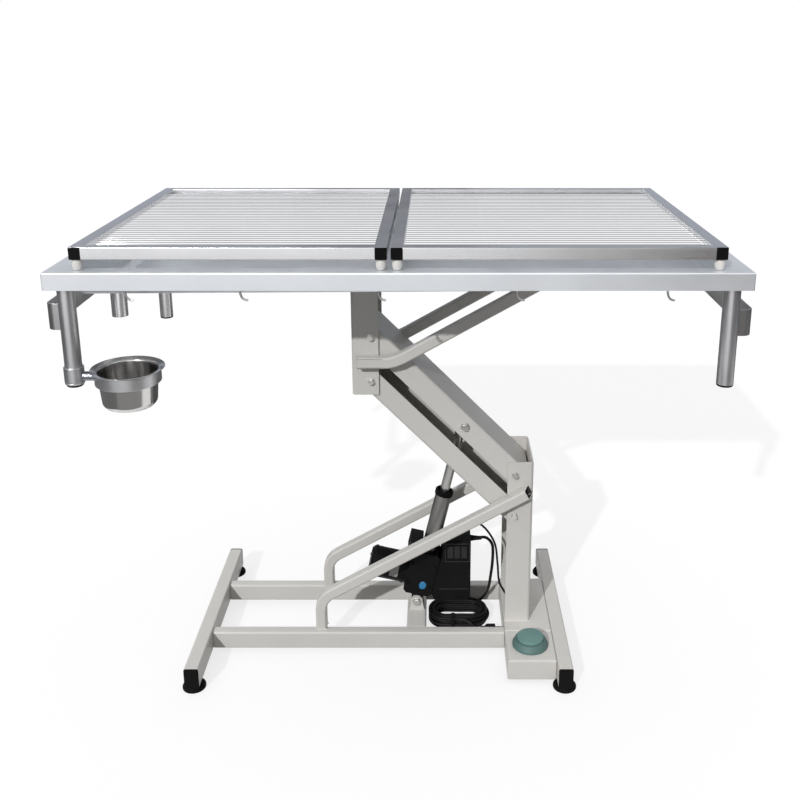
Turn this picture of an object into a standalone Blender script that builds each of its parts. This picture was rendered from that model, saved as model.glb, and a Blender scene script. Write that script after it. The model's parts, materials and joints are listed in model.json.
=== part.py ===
"""Veterinary surgery table on an electric parallel-arm lift.

Metres, +Z up. The table stands on the XY plane with its long side along X, and its front faces -Y.
The driving dimensions come first; every piece takes its size and place from them.
"""
import math

import bmesh
import bpy
from mathutils import Matrix, Vector

# Clearances
GAP = 0.0003                    # between pieces that touch
RUNNING_GAP = 0.0015            # between an arm and the column flanges beside it

# Tray
TABLE_LENGTH = 1.300
TABLE_DEPTH = 0.700
TABLE_HEIGHT = 0.968            # rim above the floor, in the photographed pose
TRAY_SHEET = 0.002
APRON_HEIGHT = 0.0335
APRON_BEND = 0.003
APRON_LIP = 0.010
RIM_WIDTH = 0.040
BASIN_DEPTH = 0.042             # at the right-hand end
BASIN_FALL = 0.008              # further depth gained towards the drain end
BASIN_CORNER = 0.025
BASIN_DRAFT = 0.004

# Drain
DRAIN_BORE = 0.028
DRAIN_WALL = 0.002
DRAIN_FROM_END = 0.079
DRAIN_FROM_FRONT = 0.180
DRAIN_LENGTH = 0.082

# Tie hooks under the front and rear aprons
HOOK_PLACES = (-0.77, -0.446, -0.057, 0.334, 0.757)     # in half table lengths
HOOK_RADIUS = 0.0025
HOOK_DROP = 0.022
HOOK_REACH = 0.014

# Corner posts
POST_RADIUS = 0.016
POST_WALL = 0.0015
POST_FROM_END = 0.032
POST_FROM_SIDE = 0.030
POST_LENGTH = 0.228             # below the rim
LONG_POST_LENGTH = 0.285        # the rear post at the drain end
SHORT_POST_LENGTH = 0.205       # the rear post at the other end
POST_PLUG = 0.004
POST_BEAD_HEIGHT = 0.009        # rolled bead that carries the bowl holder
POST_BEAD_RADIUS = 0.0185

# End handles, bent from flat bar
HANDLE_OVERHANG = 0.017
HANDLE_BAR = 0.003
HANDLE_HEIGHT = 0.052
HANDLE_LEFT_DROP = 0.071        # rim down to the bar's upper edge
HANDLE_RIGHT_DROP = 0.083
HANDLE_BEND = 0.016
HANDLE_LAP = 0.018              # arm beyond the post's axis

# Lift-out grilles
GRILLE_FROM_END = 0.0495        # inside the tray's outline
GRILLE_FROM_SIDE = 0.012
GRILLE_SPLIT = -0.0174          # middle of the gap between the panels
GRILLE_SPLIT_GAP = 0.006
GRILLE_BAR = 0.024
GRILLE_ROD_RADIUS = 0.005
GRILLE_ROD_PITCH = 0.019
GRILLE_ROD_BELOW_TOP = 0.002
GRILLE_STAY_RADIUS = 0.004
GRILLE_STAYS = 2
GRILLE_WELD = 0.003             # rods run this far into the bars
BUMPER_HEIGHT = 0.020
BUMPER_RADIUS = 0.010

# Bowl and its swivelling holder
SLEEVE_HEIGHT = 0.029
SLEEVE_WALL = 0.0025
BOWL_REACH = 0.102              # post axis to bowl axis
HOLDER_ROD_RADIUS = 0.009
HOLDER_ROD_DROP = 0.005        # rod and ring below the sleeve's middle
HOLDER_RING_HEIGHT = 0.020
HOLDER_RING_WALL = 0.003
HOLDER_RING_GAP = 0.0018        # round the bowl's wall
BOWL_HEIGHT = 0.076
BOWL_RADIUS = 0.0567
BOWL_FOOT_RADIUS = 0.051
BOWL_RIM_RADIUS = 0.069
BOWL_FLARE = 0.007
BOWL_WALL = 0.0012

# Lift linkage
ARM_LENGTH = 0.454              # between pivots
LIFT_ANGLE = 45.5               # arms above the horizontal, in degrees
ARM_HEIGHT = 0.046
ARM_SHEET = 0.003
ARM_BEND = 0.006
PIVOT_SPACING = 0.1005          # upper arm over lower arm
PIVOT_X = 0.246                 # lower pivots
PIVOT_HEIGHT = 0.432            # upper arm's lower pivot above the floor
COLUMN_WIDTH = 0.146
COLUMN_FLANGE = 0.058
COLUMN_SHEET = 0.004
COLUMN_BEND = 0.007
COLUMN_EDGE = 0.017             # pivot axis to the flanges' free edge
COLUMN_END = 0.031              # column beyond its outermost pivot
BOLT_RADIUS = 0.005
BOLT_HEAD = 0.0085              # hexagon, to its corners
BOLT_HEAD_HEIGHT = 0.006
WASHER_RADIUS = 0.0105
WASHER_HEIGHT = 0.002
ARM_BOLT_SCALE = 0.74           # the arms' bolt heads against the actuator's

# Braces
BRACE_SIZE = 0.025
BRACE_WALL = 0.002
BRACE_CORNER = 0.003
BRACE_SLOPE = 29.5              # degrees
BRACE_BEND = 0.045
UPPER_BRACE_BEND = 0.090
BRACE_SLANT = 0.006             # the lower brace's end, cut back on its outer side
UPPER_BRACE_RISE = 0.049        # its flat end above the upper column's lower pivot
UPPER_BRACE_END = 0.013         # short of the column's web
UPPER_BRACE_FLAT = 0.078        # along the column, before the bend
LOWER_BRACE_X = -0.196
LOWER_BRACE_TOP = 0.035         # its upper end's axis below the column's upper pivot
LOWER_BRACE_PAST = 0.030        # and beyond it

# Underframe
UNDERFRAME_HEIGHT = 0.030
UNDERFRAME_LENGTH = 0.900
UNDERFRAME_SPAN = 0.300
UNDERFRAME_BAR = 0.025

# Base
FOOT_HEIGHT = 0.012
FOOT_RADIUS = 0.0255
FOOT_FROM_END = 0.019
BEAM_LENGTH = 0.500
BEAM_WIDTH = 0.032
BEAM_HEIGHT = 0.048
BEAM_WALL = 0.003
BEAM_CORNER = 0.004
BEAM_CAP = 0.004
BEAM_CAP_STEM = 0.015
LEFT_BEAM_X = -0.462
RIGHT_BEAM_X = 0.351
RAIL_WIDTH = 0.025
RAIL_HEIGHT = 0.042
RAIL_SPREAD = 0.196             # between the rails' middles
BOX_WIDTH = 0.108               # column base and switch box
BOX_SHEET = 0.0025
BOX_BEND = 0.004
COLUMN_BASE_DEPTH = 0.222
SWITCH_BOX_BACK = 0.0277        # its front behind the beam's front end

# Foot switch
SWITCH_FROM_BEAM = 0.0547       # switch axis to the right beam's side
SWITCH_FROM_FRONT = 0.058       # switch axis to the box's front
SWITCH_FLANGE_RADIUS = 0.040
SWITCH_FLANGE_HEIGHT = 0.0165
SWITCH_CAP_RADIUS = 0.030
SWITCH_CAP_HEIGHT = 0.018
SWITCH_CAP_GAP = 0.0005
SWITCH_TRAVEL = 0.006

# Actuator: heights run along its axis from the lower pin
ACTUATOR_FOOT_X = 0.0231
ACTUATOR_FOOT_HEIGHT = 0.024    # lower pin above the rails
ACTUATOR_REACH = 0.161          # rod pin from the upper arm's lower pivot
MOUNT_WIDTH = 0.045
MOUNT_SHEET = 0.004
MOUNT_EAR_RADIUS = 0.014
LUG_RADIUS = 0.013
LUG_WIDTH = 0.030
HOUSING_DEPTH = 0.068
HOUSING_LEFT = 0.040
HOUSING_RIGHT = 0.027
HOUSING_BOTTOM = 0.026
HOUSING_TOP = 0.135
HOUSING_SHOULDER = 0.157        # cable outlet block beside the tube
HOUSING_SHOULDER_LEFT = 0.050
MOTOR_RADIUS = 0.036
MOTOR_LENGTH = 0.090
MOTOR_HEIGHT = 0.072
TUBE_RADIUS = 0.019
TUBE_BORE = 0.017
TUBE_TOP = 0.292
COLLAR_RADIUS = 0.0235
COLLAR_HEIGHT = 0.018
ROD_RADIUS = 0.011
ROD_TIP = 0.246                 # the rod's inner end, in the photographed pose
ROD_EYE_RADIUS = 0.016
ROD_EYE_WIDTH = 0.032
CONTROL_LEFT = 0.0835
CONTROL_RIGHT = 0.150
CONTROL_BOTTOM = 0.088
CONTROL_TOP = 0.244
CONTROL_DEPTH = 0.066
GLAND_RADIUS = 0.007
GLAND_HEIGHT = 0.006

# Cords
SWITCH_LEAD_RADIUS = 0.0025
MAINS_RADIUS = 0.0035
HANK_X = 0.124
HANK_Y = 0.025
HANK_LENGTH = 0.144             # over the outer loop's axis
HANK_WIDTH = 0.090
HANK_TURNS = 2                  # in each layer
HANK_LAYERS = 4
HANK_STEP = 0.0085
HANK_LAYER = 0.0085
PLUG_RADIUS = 0.012
PLUG_LENGTH = 0.036
PLUG_PIN_RADIUS = 0.0024
PLUG_PIN_LENGTH = 0.016
PLUG_PIN_SPREAD = 0.012

# Places that follow
HALF_LENGTH = TABLE_LENGTH / 2
HALF_DEPTH = TABLE_DEPTH / 2
UNDER_RIM = TABLE_HEIGHT - TRAY_SHEET
APRON_BOTTOM = TABLE_HEIGHT - APRON_HEIGHT
POST_X = HALF_LENGTH - POST_FROM_END
POST_Y = HALF_DEPTH - POST_FROM_SIDE
DRAIN_X = DRAIN_FROM_END - HALF_LENGTH
DRAIN_Y = DRAIN_FROM_FRONT - HALF_DEPTH
GRILLE_LENGTH = TABLE_LENGTH - 2 * GRILLE_FROM_END
GRILLE_DEPTH = TABLE_DEPTH - 2 * GRILLE_FROM_SIDE
GRILLE_BOTTOM = TABLE_HEIGHT + BUMPER_HEIGHT + 2 * GAP
GRILLE_TOP = GRILLE_BOTTOM + GRILLE_BAR
RAIL_TOP = FOOT_HEIGHT + RAIL_HEIGHT
BASE_TOP = FOOT_HEIGHT + BEAM_HEIGHT
HALF_COLUMN = COLUMN_WIDTH / 2
HALF_ARM = HALF_COLUMN - COLUMN_SHEET - RUNNING_GAP
BRACE_Y = HALF_COLUMN + GAP + BRACE_SIZE / 2
TILT = math.radians(LIFT_ANGLE)
ARM_DIRECTION = Vector((-math.cos(TILT), 0, math.sin(TILT)))
LOWER_PIVOT_A = Vector((PIVOT_X, 0, PIVOT_HEIGHT))
LOWER_PIVOT_B = LOWER_PIVOT_A - Vector((0, 0, PIVOT_SPACING))
UPPER_PIVOT_A = LOWER_PIVOT_A + ARM_LENGTH * ARM_DIRECTION
UPPER_PIVOT_B = LOWER_PIVOT_B + ARM_LENGTH * ARM_DIRECTION
ACTUATOR_FOOT = Vector((ACTUATOR_FOOT_X, 0, RAIL_TOP + ACTUATOR_FOOT_HEIGHT))
ROD_PIN = LOWER_PIVOT_A + ACTUATOR_REACH * ARM_DIRECTION
ACTUATOR_SPAN = (ROD_PIN - ACTUATOR_FOOT).length
ACTUATOR_LEAN = math.atan2(ROD_PIN.x - ACTUATOR_FOOT.x, ROD_PIN.z - ACTUATOR_FOOT.z)
BOX_RIGHT = RIGHT_BEAM_X - BEAM_WIDTH / 2 - GAP
BOX_LEFT = BOX_RIGHT - BOX_WIDTH
SWITCH_BOX_FRONT = SWITCH_BOX_BACK - BEAM_LENGTH / 2
SWITCH_X = BOX_RIGHT + GAP - SWITCH_FROM_BEAM
SWITCH_Y = SWITCH_BOX_FRONT + SWITCH_FROM_FRONT
BOWL_BEAD_TOP = TABLE_HEIGHT - POST_LENGTH + POST_BEAD_HEIGHT
SLEEVE_MIDDLE = BOWL_BEAD_TOP + GAP + SLEEVE_HEIGHT / 2
HOLDER_HEIGHT = SLEEVE_MIDDLE - HOLDER_ROD_DROP
BOWL_X = -POST_X + BOWL_REACH
FRONT_REACH = max(HALF_DEPTH, POST_Y + BOWL_RIM_RADIUS)
ORIGIN_SHIFT = (FRONT_REACH - HALF_DEPTH) / 2     # brings the whole object's middle to Y = 0


def basin_floor(x):
    """Height of the basin's upper face, which falls towards the drain end."""
    return TABLE_HEIGHT - BASIN_DEPTH - BASIN_FALL * (0.5 - x / TABLE_LENGTH)


# Outlines and rings

def rounded(corners, radius, steps=3, closed=True):
    """A polygon or open path with every corner turned into an arc."""
    points = []
    count = len(corners)
    for i, corner in enumerate(corners):
        here = Vector(corner)
        if not closed and i in (0, count - 1):
            points.append(here)
            continue
        to_last = (Vector(corners[i - 1]) - here).normalized()
        to_next = (Vector(corners[(i + 1) % count]) - here).normalized()
        half = to_last.angle(to_next) / 2
        centre = here + (to_last + to_next).normalized() * radius / math.sin(half)
        first = here + to_last * radius / math.tan(half) - centre
        last = here + to_next * radius / math.tan(half) - centre
        for step in range(steps + 1):
            share = step / steps
            points.append(centre + (first.lerp(last, share)).normalized() * radius)
    return points


def rectangle(half_u, half_v, radius, steps=3):
    """A rounded rectangle about the origin."""
    corners = [(-half_u, -half_v), (half_u, -half_v), (half_u, half_v), (-half_u, half_v)]
    return rounded(corners, radius, steps)


def beside(path, distance):
    """An open path moved sideways, to its left when distance is positive."""
    moved = []
    for i, point in enumerate(path):
        along = path[min(i + 1, len(path) - 1)] - path[max(i - 1, 0)]
        normal = Vector((-along.y, along.x)).normalized()
        moved.append(point + normal * distance)
    return moved


def band(path, thickness):
    """The outline of sheet or flat bar that follows a path on its left."""
    return list(path) + beside(path, thickness)[::-1]


def circle(radius, sides=20):
    """A circle about the origin."""
    turn = 2 * math.pi / sides
    return [(radius * math.cos(i * turn), radius * math.sin(i * turn)) for i in range(sides)]


def level(outline, z, x=0.0, y=0.0):
    """An outline of (x, y) points laid level at a height."""
    return [Vector((x + p[0], y + p[1], z)) for p in outline]


def facing(outline, y, x=0.0, z=0.0):
    """An outline of (x, z) points that faces the front."""
    return [Vector((x + p[0], y, z + p[1])) for p in outline]


def endways(outline, x, y=0.0, z=0.0):
    """An outline of (y, z) points that faces the table's end."""
    return [Vector((x, y + p[0], z + p[1])) for p in outline]


def turned(profile, x=0.0, y=0.0, z=0.0, sides=20):
    """Rings about a vertical axis, one for each (radius, height)."""
    return [level(circle(r, sides), z + h, x, y) for r, h in profile]


# Materials

def material(name, colour, roughness, metallic=0.0):
    """A plain surface with one colour."""
    made = bpy.data.materials.new(name)
    made.use_nodes = True
    shader = made.node_tree.nodes["Principled BSDF"]
    shader.inputs["Base Color"].default_value = (*colour, 1.0)
    shader.inputs["Roughness"].default_value = roughness
    shader.inputs["Metallic"].default_value = metallic
    return made


# Bodies

def loft(rings, closed=False, shell=None):
    """A closed body through rings of equal length: capped at both ends, or joined last to first."""
    shell = shell or bmesh.new()
    rows = [[shell.verts.new(point) for point in ring] for ring in rings]
    for lower, upper in zip(rows, rows[1:] + rows[:1] if closed else rows[1:]):
        for i in range(len(lower)):
            shell.faces.new((lower[i - 1], lower[i], upper[i], upper[i - 1]))
    if not closed:
        shell.faces.new(rows[0])
        shell.faces.new(rows[-1])
    return shell


def body(name, shell, surface):
    """A named object that holds a finished body."""
    bmesh.ops.recalc_face_normals(shell, faces=shell.faces)
    mesh = bpy.data.meshes.new(name)
    shell.to_mesh(mesh)
    shell.free()
    mesh.materials.append(surface)
    made = bpy.data.objects.new(name, mesh)
    bpy.context.collection.objects.link(made)
    return made


def solid(name, rings, surface, closed=False):
    """A named object lofted through rings."""
    return body(name, loft(rings, closed), surface)


def combine(target, tools, operation):
    """Join tools to an object or cut them from it, and take them away."""
    for tool in tools:
        step = target.modifiers.new(operation, "BOOLEAN")
        step.operation = operation
        step.object = tool
    shaped = target.evaluated_get(bpy.context.evaluated_depsgraph_get())
    mesh = bpy.data.meshes.new_from_object(shaped)
    target.modifiers.clear()
    target.data = mesh
    for tool in tools:
        bpy.data.objects.remove(tool)
    return target


def pin_hole(place, radius, half_width):
    """A round cutter along Y."""
    rings = [facing(circle(radius, 12), side * half_width, place.x, place.z) for side in (-1, 1)]
    return solid("cutter", rings, STEEL)


def pivot(name, place, parent=None):
    """An empty on a joint's axis."""
    made = bpy.data.objects.new(name, None)
    bpy.context.collection.objects.link(made)
    made.location = Vector(place)
    made["place"] = list(place)
    if parent:
        made.parent = parent
        made.location -= Vector(parent["place"])
    return made


def carry(piece, joint):
    """Hang a piece on its joint's empty, which becomes its origin."""
    piece.data.transform(Matrix.Translation(-Vector(joint["place"])))
    piece.parent = joint
    return piece


def second_surface(piece, surface, chosen):
    """Give a second material to the faces that a test picks out."""
    piece.data.materials.append(surface)
    for face in piece.data.polygons:
        if chosen(face.center):
            face.material_index = 1


# Tray, drain and posts

def tray():
    """One folded sheet: apron with a turned-in lip, flat rim and a basin that falls to the drain."""
    def ring(inset, z, corner):
        outline = rectangle(HALF_LENGTH - inset, HALF_DEPTH - inset, corner, steps=4)
        return [Vector((p.x, p.y, z(p.x) if callable(z) else z)) for p in outline]

    sheet = TRAY_SHEET
    inner = sheet + APRON_LIP
    wall = RIM_WIDTH + BASIN_DRAFT
    rings = [
        ring(wall - sheet, lambda x: basin_floor(x) - sheet, BASIN_CORNER),
        ring(RIM_WIDTH - sheet, UNDER_RIM, BASIN_CORNER),
        ring(sheet, UNDER_RIM, APRON_BEND),
        ring(sheet, APRON_BOTTOM + sheet, APRON_BEND),
        ring(inner, APRON_BOTTOM + sheet, APRON_BEND),
        ring(inner, APRON_BOTTOM, APRON_BEND),
        ring(0, APRON_BOTTOM, APRON_BEND),
        ring(0, TABLE_HEIGHT - APRON_BEND, APRON_BEND),
        ring(APRON_BEND, TABLE_HEIGHT, APRON_BEND),
        ring(RIM_WIDTH, TABLE_HEIGHT, BASIN_CORNER),
        ring(wall, basin_floor, BASIN_CORNER),
    ]
    piece = solid("tray", rings, STEEL)
    floor = basin_floor(DRAIN_X)
    punch = [(DRAIN_BORE / 2, -BASIN_DEPTH / 2), (DRAIN_BORE / 2, BASIN_DEPTH / 2)]
    bore = turned(punch, DRAIN_X, DRAIN_Y, floor)
    combine(piece, [solid("cutter", bore, STEEL)], "DIFFERENCE")
    hooks = bmesh.new()
    for side in (-1, 1):
        for place in HOOK_PLACES:
            loft(hook_rings(place * HALF_LENGTH, side * (HALF_DEPTH - inner / 2)), shell=hooks)
    return combine(piece, [body("hooks", hooks, STEEL)], "UNION")


def hook_rings(x, y):
    """Rings along one bent tie hook, from inside the apron's lip to its free end."""
    steps = 5
    start = APRON_BOTTOM + TRAY_SHEET / 2
    drop = HOOK_DROP + TRAY_SHEET / 2
    rings = []
    for i in range(steps + 1):
        share = i / steps
        turn = share * math.radians(75)
        place = Vector((
            x + HOOK_REACH * share ** 2,
            y,
            start - drop * math.sin(math.pi / 2 * share),
        ))
        across = Vector((math.cos(turn), 0, math.sin(turn)))
        rings.append([
            place + across * u + Vector((0, v, 0)) for u, v in circle(HOOK_RADIUS, 6)
        ])
    return rings


def drain_pipe():
    """Outlet pipe welded under the basin."""
    top = basin_floor(DRAIN_X - DRAIN_BORE) - TRAY_SHEET - GAP
    inner = DRAIN_BORE / 2
    outer = inner + DRAIN_WALL
    profile = [(inner, 0), (outer, 0), (outer, -DRAIN_LENGTH), (inner, -DRAIN_LENGTH)]
    return solid("drain_pipe", turned(profile, DRAIN_X, DRAIN_Y, top), STEEL, closed=True)


def post(name, x, y, length, bead):
    """A corner post of round tube with a black plug in its lower end."""
    bottom = TABLE_HEIGHT - length
    bore = POST_RADIUS - POST_WALL
    profile = [(POST_RADIUS - POST_WALL / 2, bottom), (POST_RADIUS, bottom + POST_WALL / 2)]
    if bead:
        profile = [(POST_RADIUS, bottom), (POST_BEAD_RADIUS, bottom + POST_PLUG / 2)]
        profile += [(POST_BEAD_RADIUS, BOWL_BEAD_TOP), (POST_RADIUS, BOWL_BEAD_TOP)]
    top = UNDER_RIM - GAP
    profile += [(POST_RADIUS, top), (bore, top), (bore, bottom + 4 * POST_PLUG)]
    piece = solid(name, turned(profile, x, y), STEEL)
    second_surface(piece, RUBBER, lambda face: face.z < bottom + POST_PLUG / 4)
    return piece


def handle(name, side, drop):
    """Flat bar bent round the table's end and welded to the two posts."""
    reach = HALF_LENGTH + HANDLE_OVERHANG
    inner = POST_X - HANDLE_LAP
    half = POST_Y - POST_RADIUS - GAP
    corners = [(inner, -half), (reach, -half), (reach, half), (inner, half)]
    path = rounded(
        corners, HANDLE_BEND, steps=4, closed=False
    )
    outline = [(side * p.x, p.y) for p in band(path, HANDLE_BAR)]
    top = TABLE_HEIGHT - drop
    return solid(name, [level(outline, top - HANDLE_HEIGHT), level(outline, top)], STEEL)


# Grilles and bumpers

def grille(name, left, right):
    """Square-tube frame with round rods across it, carried by two stays."""
    half = GRILLE_DEPTH / 2
    middle = (GRILLE_TOP + GRILLE_BOTTOM) / 2
    square = rectangle(GRILLE_BAR / 2, GRILLE_BAR / 2, GRILLE_BAR / 12, steps=2)
    weld = GRILLE_WELD
    near = left + GRILLE_BAR / 2
    far = right - GRILLE_BAR / 2
    piece = solid(name, [facing(square, y, near, middle) for y in (-half, half)], STEEL)
    far_bar = solid("bar", [facing(square, y, far, middle) for y in (-half, half)], STEEL)
    inner_left = left + GRILLE_BAR - weld
    inner_right = right - GRILLE_BAR + weld
    cross_bars = bmesh.new()
    for y in (GRILLE_BAR / 2 - half, half - GRILLE_BAR / 2):
        slim = rectangle(GRILLE_BAR / 2 - GAP, GRILLE_BAR / 2 - GAP, GRILLE_BAR / 12, steps=2)
        loft([endways(slim, x, y, middle) for x in (inner_left, inner_right)], shell=cross_bars)
    rods = bmesh.new()
    inside = GRILLE_DEPTH - 2 * GRILLE_BAR
    count = int(inside / GRILLE_ROD_PITCH) - 1
    rod_height = GRILLE_TOP - GRILLE_ROD_BELOW_TOP - GRILLE_ROD_RADIUS
    for i in range(count):
        y = (i - (count - 1) / 2) * GRILLE_ROD_PITCH
        section = circle(GRILLE_ROD_RADIUS, 6)
        loft([endways(section, x, y, rod_height) for x in (inner_left, inner_right)], shell=rods)
    stays = bmesh.new()
    stay_height = rod_height - GRILLE_ROD_RADIUS - GRILLE_STAY_RADIUS / 2
    for i in range(GRILLE_STAYS):
        x = left + (right - left) * (i + 1) / (GRILLE_STAYS + 1)
        section = circle(GRILLE_STAY_RADIUS, 6)
        reach = half - GRILLE_BAR + weld
        loft([facing(section, y, x, stay_height) for y in (-reach, reach)], shell=stays)
    tools = [far_bar]
    for part_name, shell in (("cross_bars", cross_bars), ("rods", rods), ("stays", stays)):
        tools.append(body(part_name, shell, STEEL))
    combine(piece, tools, "UNION")
    second_surface(piece, RUBBER, lambda face: abs(face.y) > half - GAP)
    return piece


def bumper(name, x, y):
    """Moulded rubber foot between a grille and the tray's rim."""
    waist = BUMPER_RADIUS * 0.8
    profile = [
        (BUMPER_RADIUS, 0),
        (waist, BUMPER_HEIGHT * 0.35),
        (waist, BUMPER_HEIGHT * 0.7),
        (BUMPER_RADIUS, BUMPER_HEIGHT),
    ]
    return solid(name, turned(profile, x, y, TABLE_HEIGHT + GAP, sides=10), BUMPER)


# Bowl and holder

def bowl_holder():
    """Sleeve that turns on the post, with a short rod to the ring that carries the bowl."""
    bore = POST_RADIUS + GAP
    outer = bore + SLEEVE_WALL
    half = SLEEVE_HEIGHT / 2
    profile = [(bore, -half), (outer, -half), (outer, half), (bore, half)]
    piece = solid("bowl_holder", turned(profile, -POST_X, -POST_Y, SLEEVE_MIDDLE), STEEL, closed=True)
    ring_bore = BOWL_RADIUS + HOLDER_RING_GAP
    ring_outer = ring_bore + HOLDER_RING_WALL
    half = HOLDER_RING_HEIGHT / 2
    profile = [(ring_bore, -half), (ring_outer, -half), (ring_outer, half), (ring_bore, half)]
    ring = solid("ring", turned(profile, BOWL_X, -POST_Y, HOLDER_HEIGHT, 28), STEEL, closed=True)
    start = -POST_X + bore + SLEEVE_WALL / 2
    end = BOWL_X - ring_outer + HOLDER_RING_WALL / 2
    rings = [endways(circle(HOLDER_ROD_RADIUS, 16), x, -POST_Y, HOLDER_HEIGHT) for x in (start, end)]
    return combine(piece, [ring, solid("rod", rings, STEEL)], "UNION")


def bowl():
    """Spun bowl whose flared rim hangs on the holder's ring."""
    heel = 0.008
    ring_top = HOLDER_HEIGHT + HOLDER_RING_HEIGHT / 2
    seat = BOWL_FLARE * HOLDER_RING_GAP / (BOWL_RIM_RADIUS - BOWL_RADIUS)
    bottom = ring_top + GAP - seat - (BOWL_HEIGHT - BOWL_FLARE - BOWL_WALL)
    profile = [
        (BOWL_FOOT_RADIUS - heel, 0),
        (BOWL_FOOT_RADIUS, heel),
        (BOWL_RADIUS, BOWL_HEIGHT - BOWL_FLARE - BOWL_WALL),
        (BOWL_RIM_RADIUS, BOWL_HEIGHT - BOWL_WALL),
        (BOWL_RIM_RADIUS, BOWL_HEIGHT),
        (BOWL_RADIUS - BOWL_WALL, BOWL_HEIGHT - BOWL_FLARE),
        (BOWL_FOOT_RADIUS - BOWL_WALL, heel + BOWL_WALL / 2),
        (BOWL_FOOT_RADIUS - heel, BOWL_WALL),
    ]
    return solid("bowl", turned(profile, BOWL_X, -POST_Y, bottom, 28), STEEL)


# Lift

def channel_path(half_width, open_end, web):
    """Path round a channel's outside, from one free edge across the web to the other."""
    side = 1 if web > open_end else -1
    corners = [(open_end, -side * half_width), (web, -side * half_width)]
    corners += [(web, side * half_width), (open_end, side * half_width)]
    return corners


def column(name, pivots, web, low, high):
    """Upright channel with holes for the two arm pivots."""
    side = 1 if web > pivots[0].x else -1
    path = rounded(channel_path(HALF_COLUMN, web - side * COLUMN_FLANGE, web), COLUMN_BEND, closed=False)
    outline = band(path, COLUMN_SHEET)
    piece = solid(name, [level(outline, low), level(outline, high)], PAINT)
    holes = [pin_hole(place, BOLT_RADIUS + GAP, COLUMN_WIDTH) for place in pivots]
    return combine(piece, holes, "DIFFERENCE")


def arm(name, start, web_side, pins, slot):
    """Channel between two pivots; its web faces up on the upper arm and down on the lower one."""
    end = ARM_HEIGHT / 2
    path = rounded(channel_path(HALF_ARM, -web_side * end, web_side * end), ARM_BEND, closed=False)
    outline = [(p.y, p.x) for p in band(path, ARM_SHEET)]
    piece = solid(name, [endways(outline, u) for u in (-end, ARM_LENGTH + end)], PAINT)
    cutters = [pin_hole(Vector((u, 0, 0)), BOLT_RADIUS + GAP, COLUMN_WIDTH) for u in pins]
    if slot:
        middle, length, width = slot
        opening = level(rectangle(length / 2, width / 2, width / 4), 0, middle)
        low = [p + Vector((0, 0, web_side * end * 2)) for p in opening]
        cutters.append(solid("cutter", [low, opening], PAINT))
    combine(piece, cutters, "DIFFERENCE")
    normal = Vector((math.sin(TILT), 0, math.cos(TILT)))
    turn = Matrix((ARM_DIRECTION, normal.cross(ARM_DIRECTION), normal)).transposed().to_4x4()
    piece.data.transform(Matrix.Translation(start) @ turn)
    return piece


def pivot_bolt(name, place, half_grip, scale=1.0):
    """Through bolt along Y with a washer and a hexagon at each end."""
    head = half_grip + GAP + WASHER_HEIGHT
    shank = [(-head, BOLT_RADIUS), (head, BOLT_RADIUS)]
    piece = solid(name, [facing(circle(r, 12), y, place.x, place.z) for y, r in shank], BOLT)
    ends = []
    for side in (-1, 1):
        washer = (half_grip + GAP, head)
        hexagon = (head - WASHER_HEIGHT / 2, head + BOLT_HEAD_HEIGHT)
        for span, radius, sides in ((washer, WASHER_RADIUS, 12), (hexagon, BOLT_HEAD, 6)):
            rings = [facing(circle(radius * scale, sides), side * y, place.x, place.z) for y in span]
            ends.append(solid("end", rings, BOLT))
    return combine(piece, ends, "UNION")


def swept_tube(name, path, y, slant=0.0):
    """Hollow square tube along a path of (x, z) points, open at both ends, its last end cut on a slant."""
    def rings(half, corner):
        made = []
        for i, point in enumerate(path):
            along = path[min(i + 1, len(path) - 1)] - path[max(i - 1, 0)]
            along.normalize()
            normal = Vector((-along.y, along.x))
            back = slant / BRACE_SIZE if i == len(path) - 1 else 0.0
            ring = []
            for p in rectangle(half, half, corner, steps=1):
                flat = point + normal * p.y + along * back * p.x
                ring.append(Vector((flat.x, y + p.x, flat.y)))
            made.append(ring)
        return made

    outer = rings(BRACE_SIZE / 2, BRACE_CORNER)
    inner = rings(BRACE_SIZE / 2 - BRACE_WALL, BRACE_CORNER / 2)
    return solid(name, outer + inner[::-1], PAINT, closed=True)


def upper_brace(name, y):
    """Brace from the upper column's side up to the underframe."""
    start = Vector((UPPER_COLUMN_WEB + UPPER_BRACE_END, UPPER_PIVOT_B.z + UPPER_BRACE_RISE))
    bend = start + Vector((UPPER_BRACE_FLAT, 0))
    rise = UNDERFRAME_BOTTOM - bend.y
    end = bend + Vector((rise / math.tan(math.radians(BRACE_SLOPE)), rise))
    path = rounded([start, bend, end], UPPER_BRACE_BEND, steps=4, closed=False)
    piece = swept_tube(name, path, y)
    return cut_level(piece, UNDERFRAME_BOTTOM - GAP)


def cut_level(piece, top):
    """Trim a piece level at a height."""
    size = TABLE_LENGTH
    block = rectangle(size, size, BRACE_SIZE)
    cutter = solid("cutter", [level(block, top), level(block, top + BRACE_SIZE * 4)], PAINT)
    return combine(piece, [cutter], "DIFFERENCE")


def lower_brace(name, y):
    """Brace that rises from a rail, bends and runs up to the lower column's side."""
    end = Vector((PIVOT_X + LOWER_BRACE_PAST, PIVOT_HEIGHT - LOWER_BRACE_TOP))
    run = end.x - LOWER_BRACE_X
    bend = Vector((LOWER_BRACE_X, end.y - run * math.tan(math.radians(BRACE_SLOPE))))
    foot = Vector((LOWER_BRACE_X, RAIL_TOP + GAP))
    path = rounded([foot, bend, end], BRACE_BEND, steps=4, closed=False)
    return swept_tube(name, path, y, math.copysign(2 * BRACE_SLANT, -y))


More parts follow.
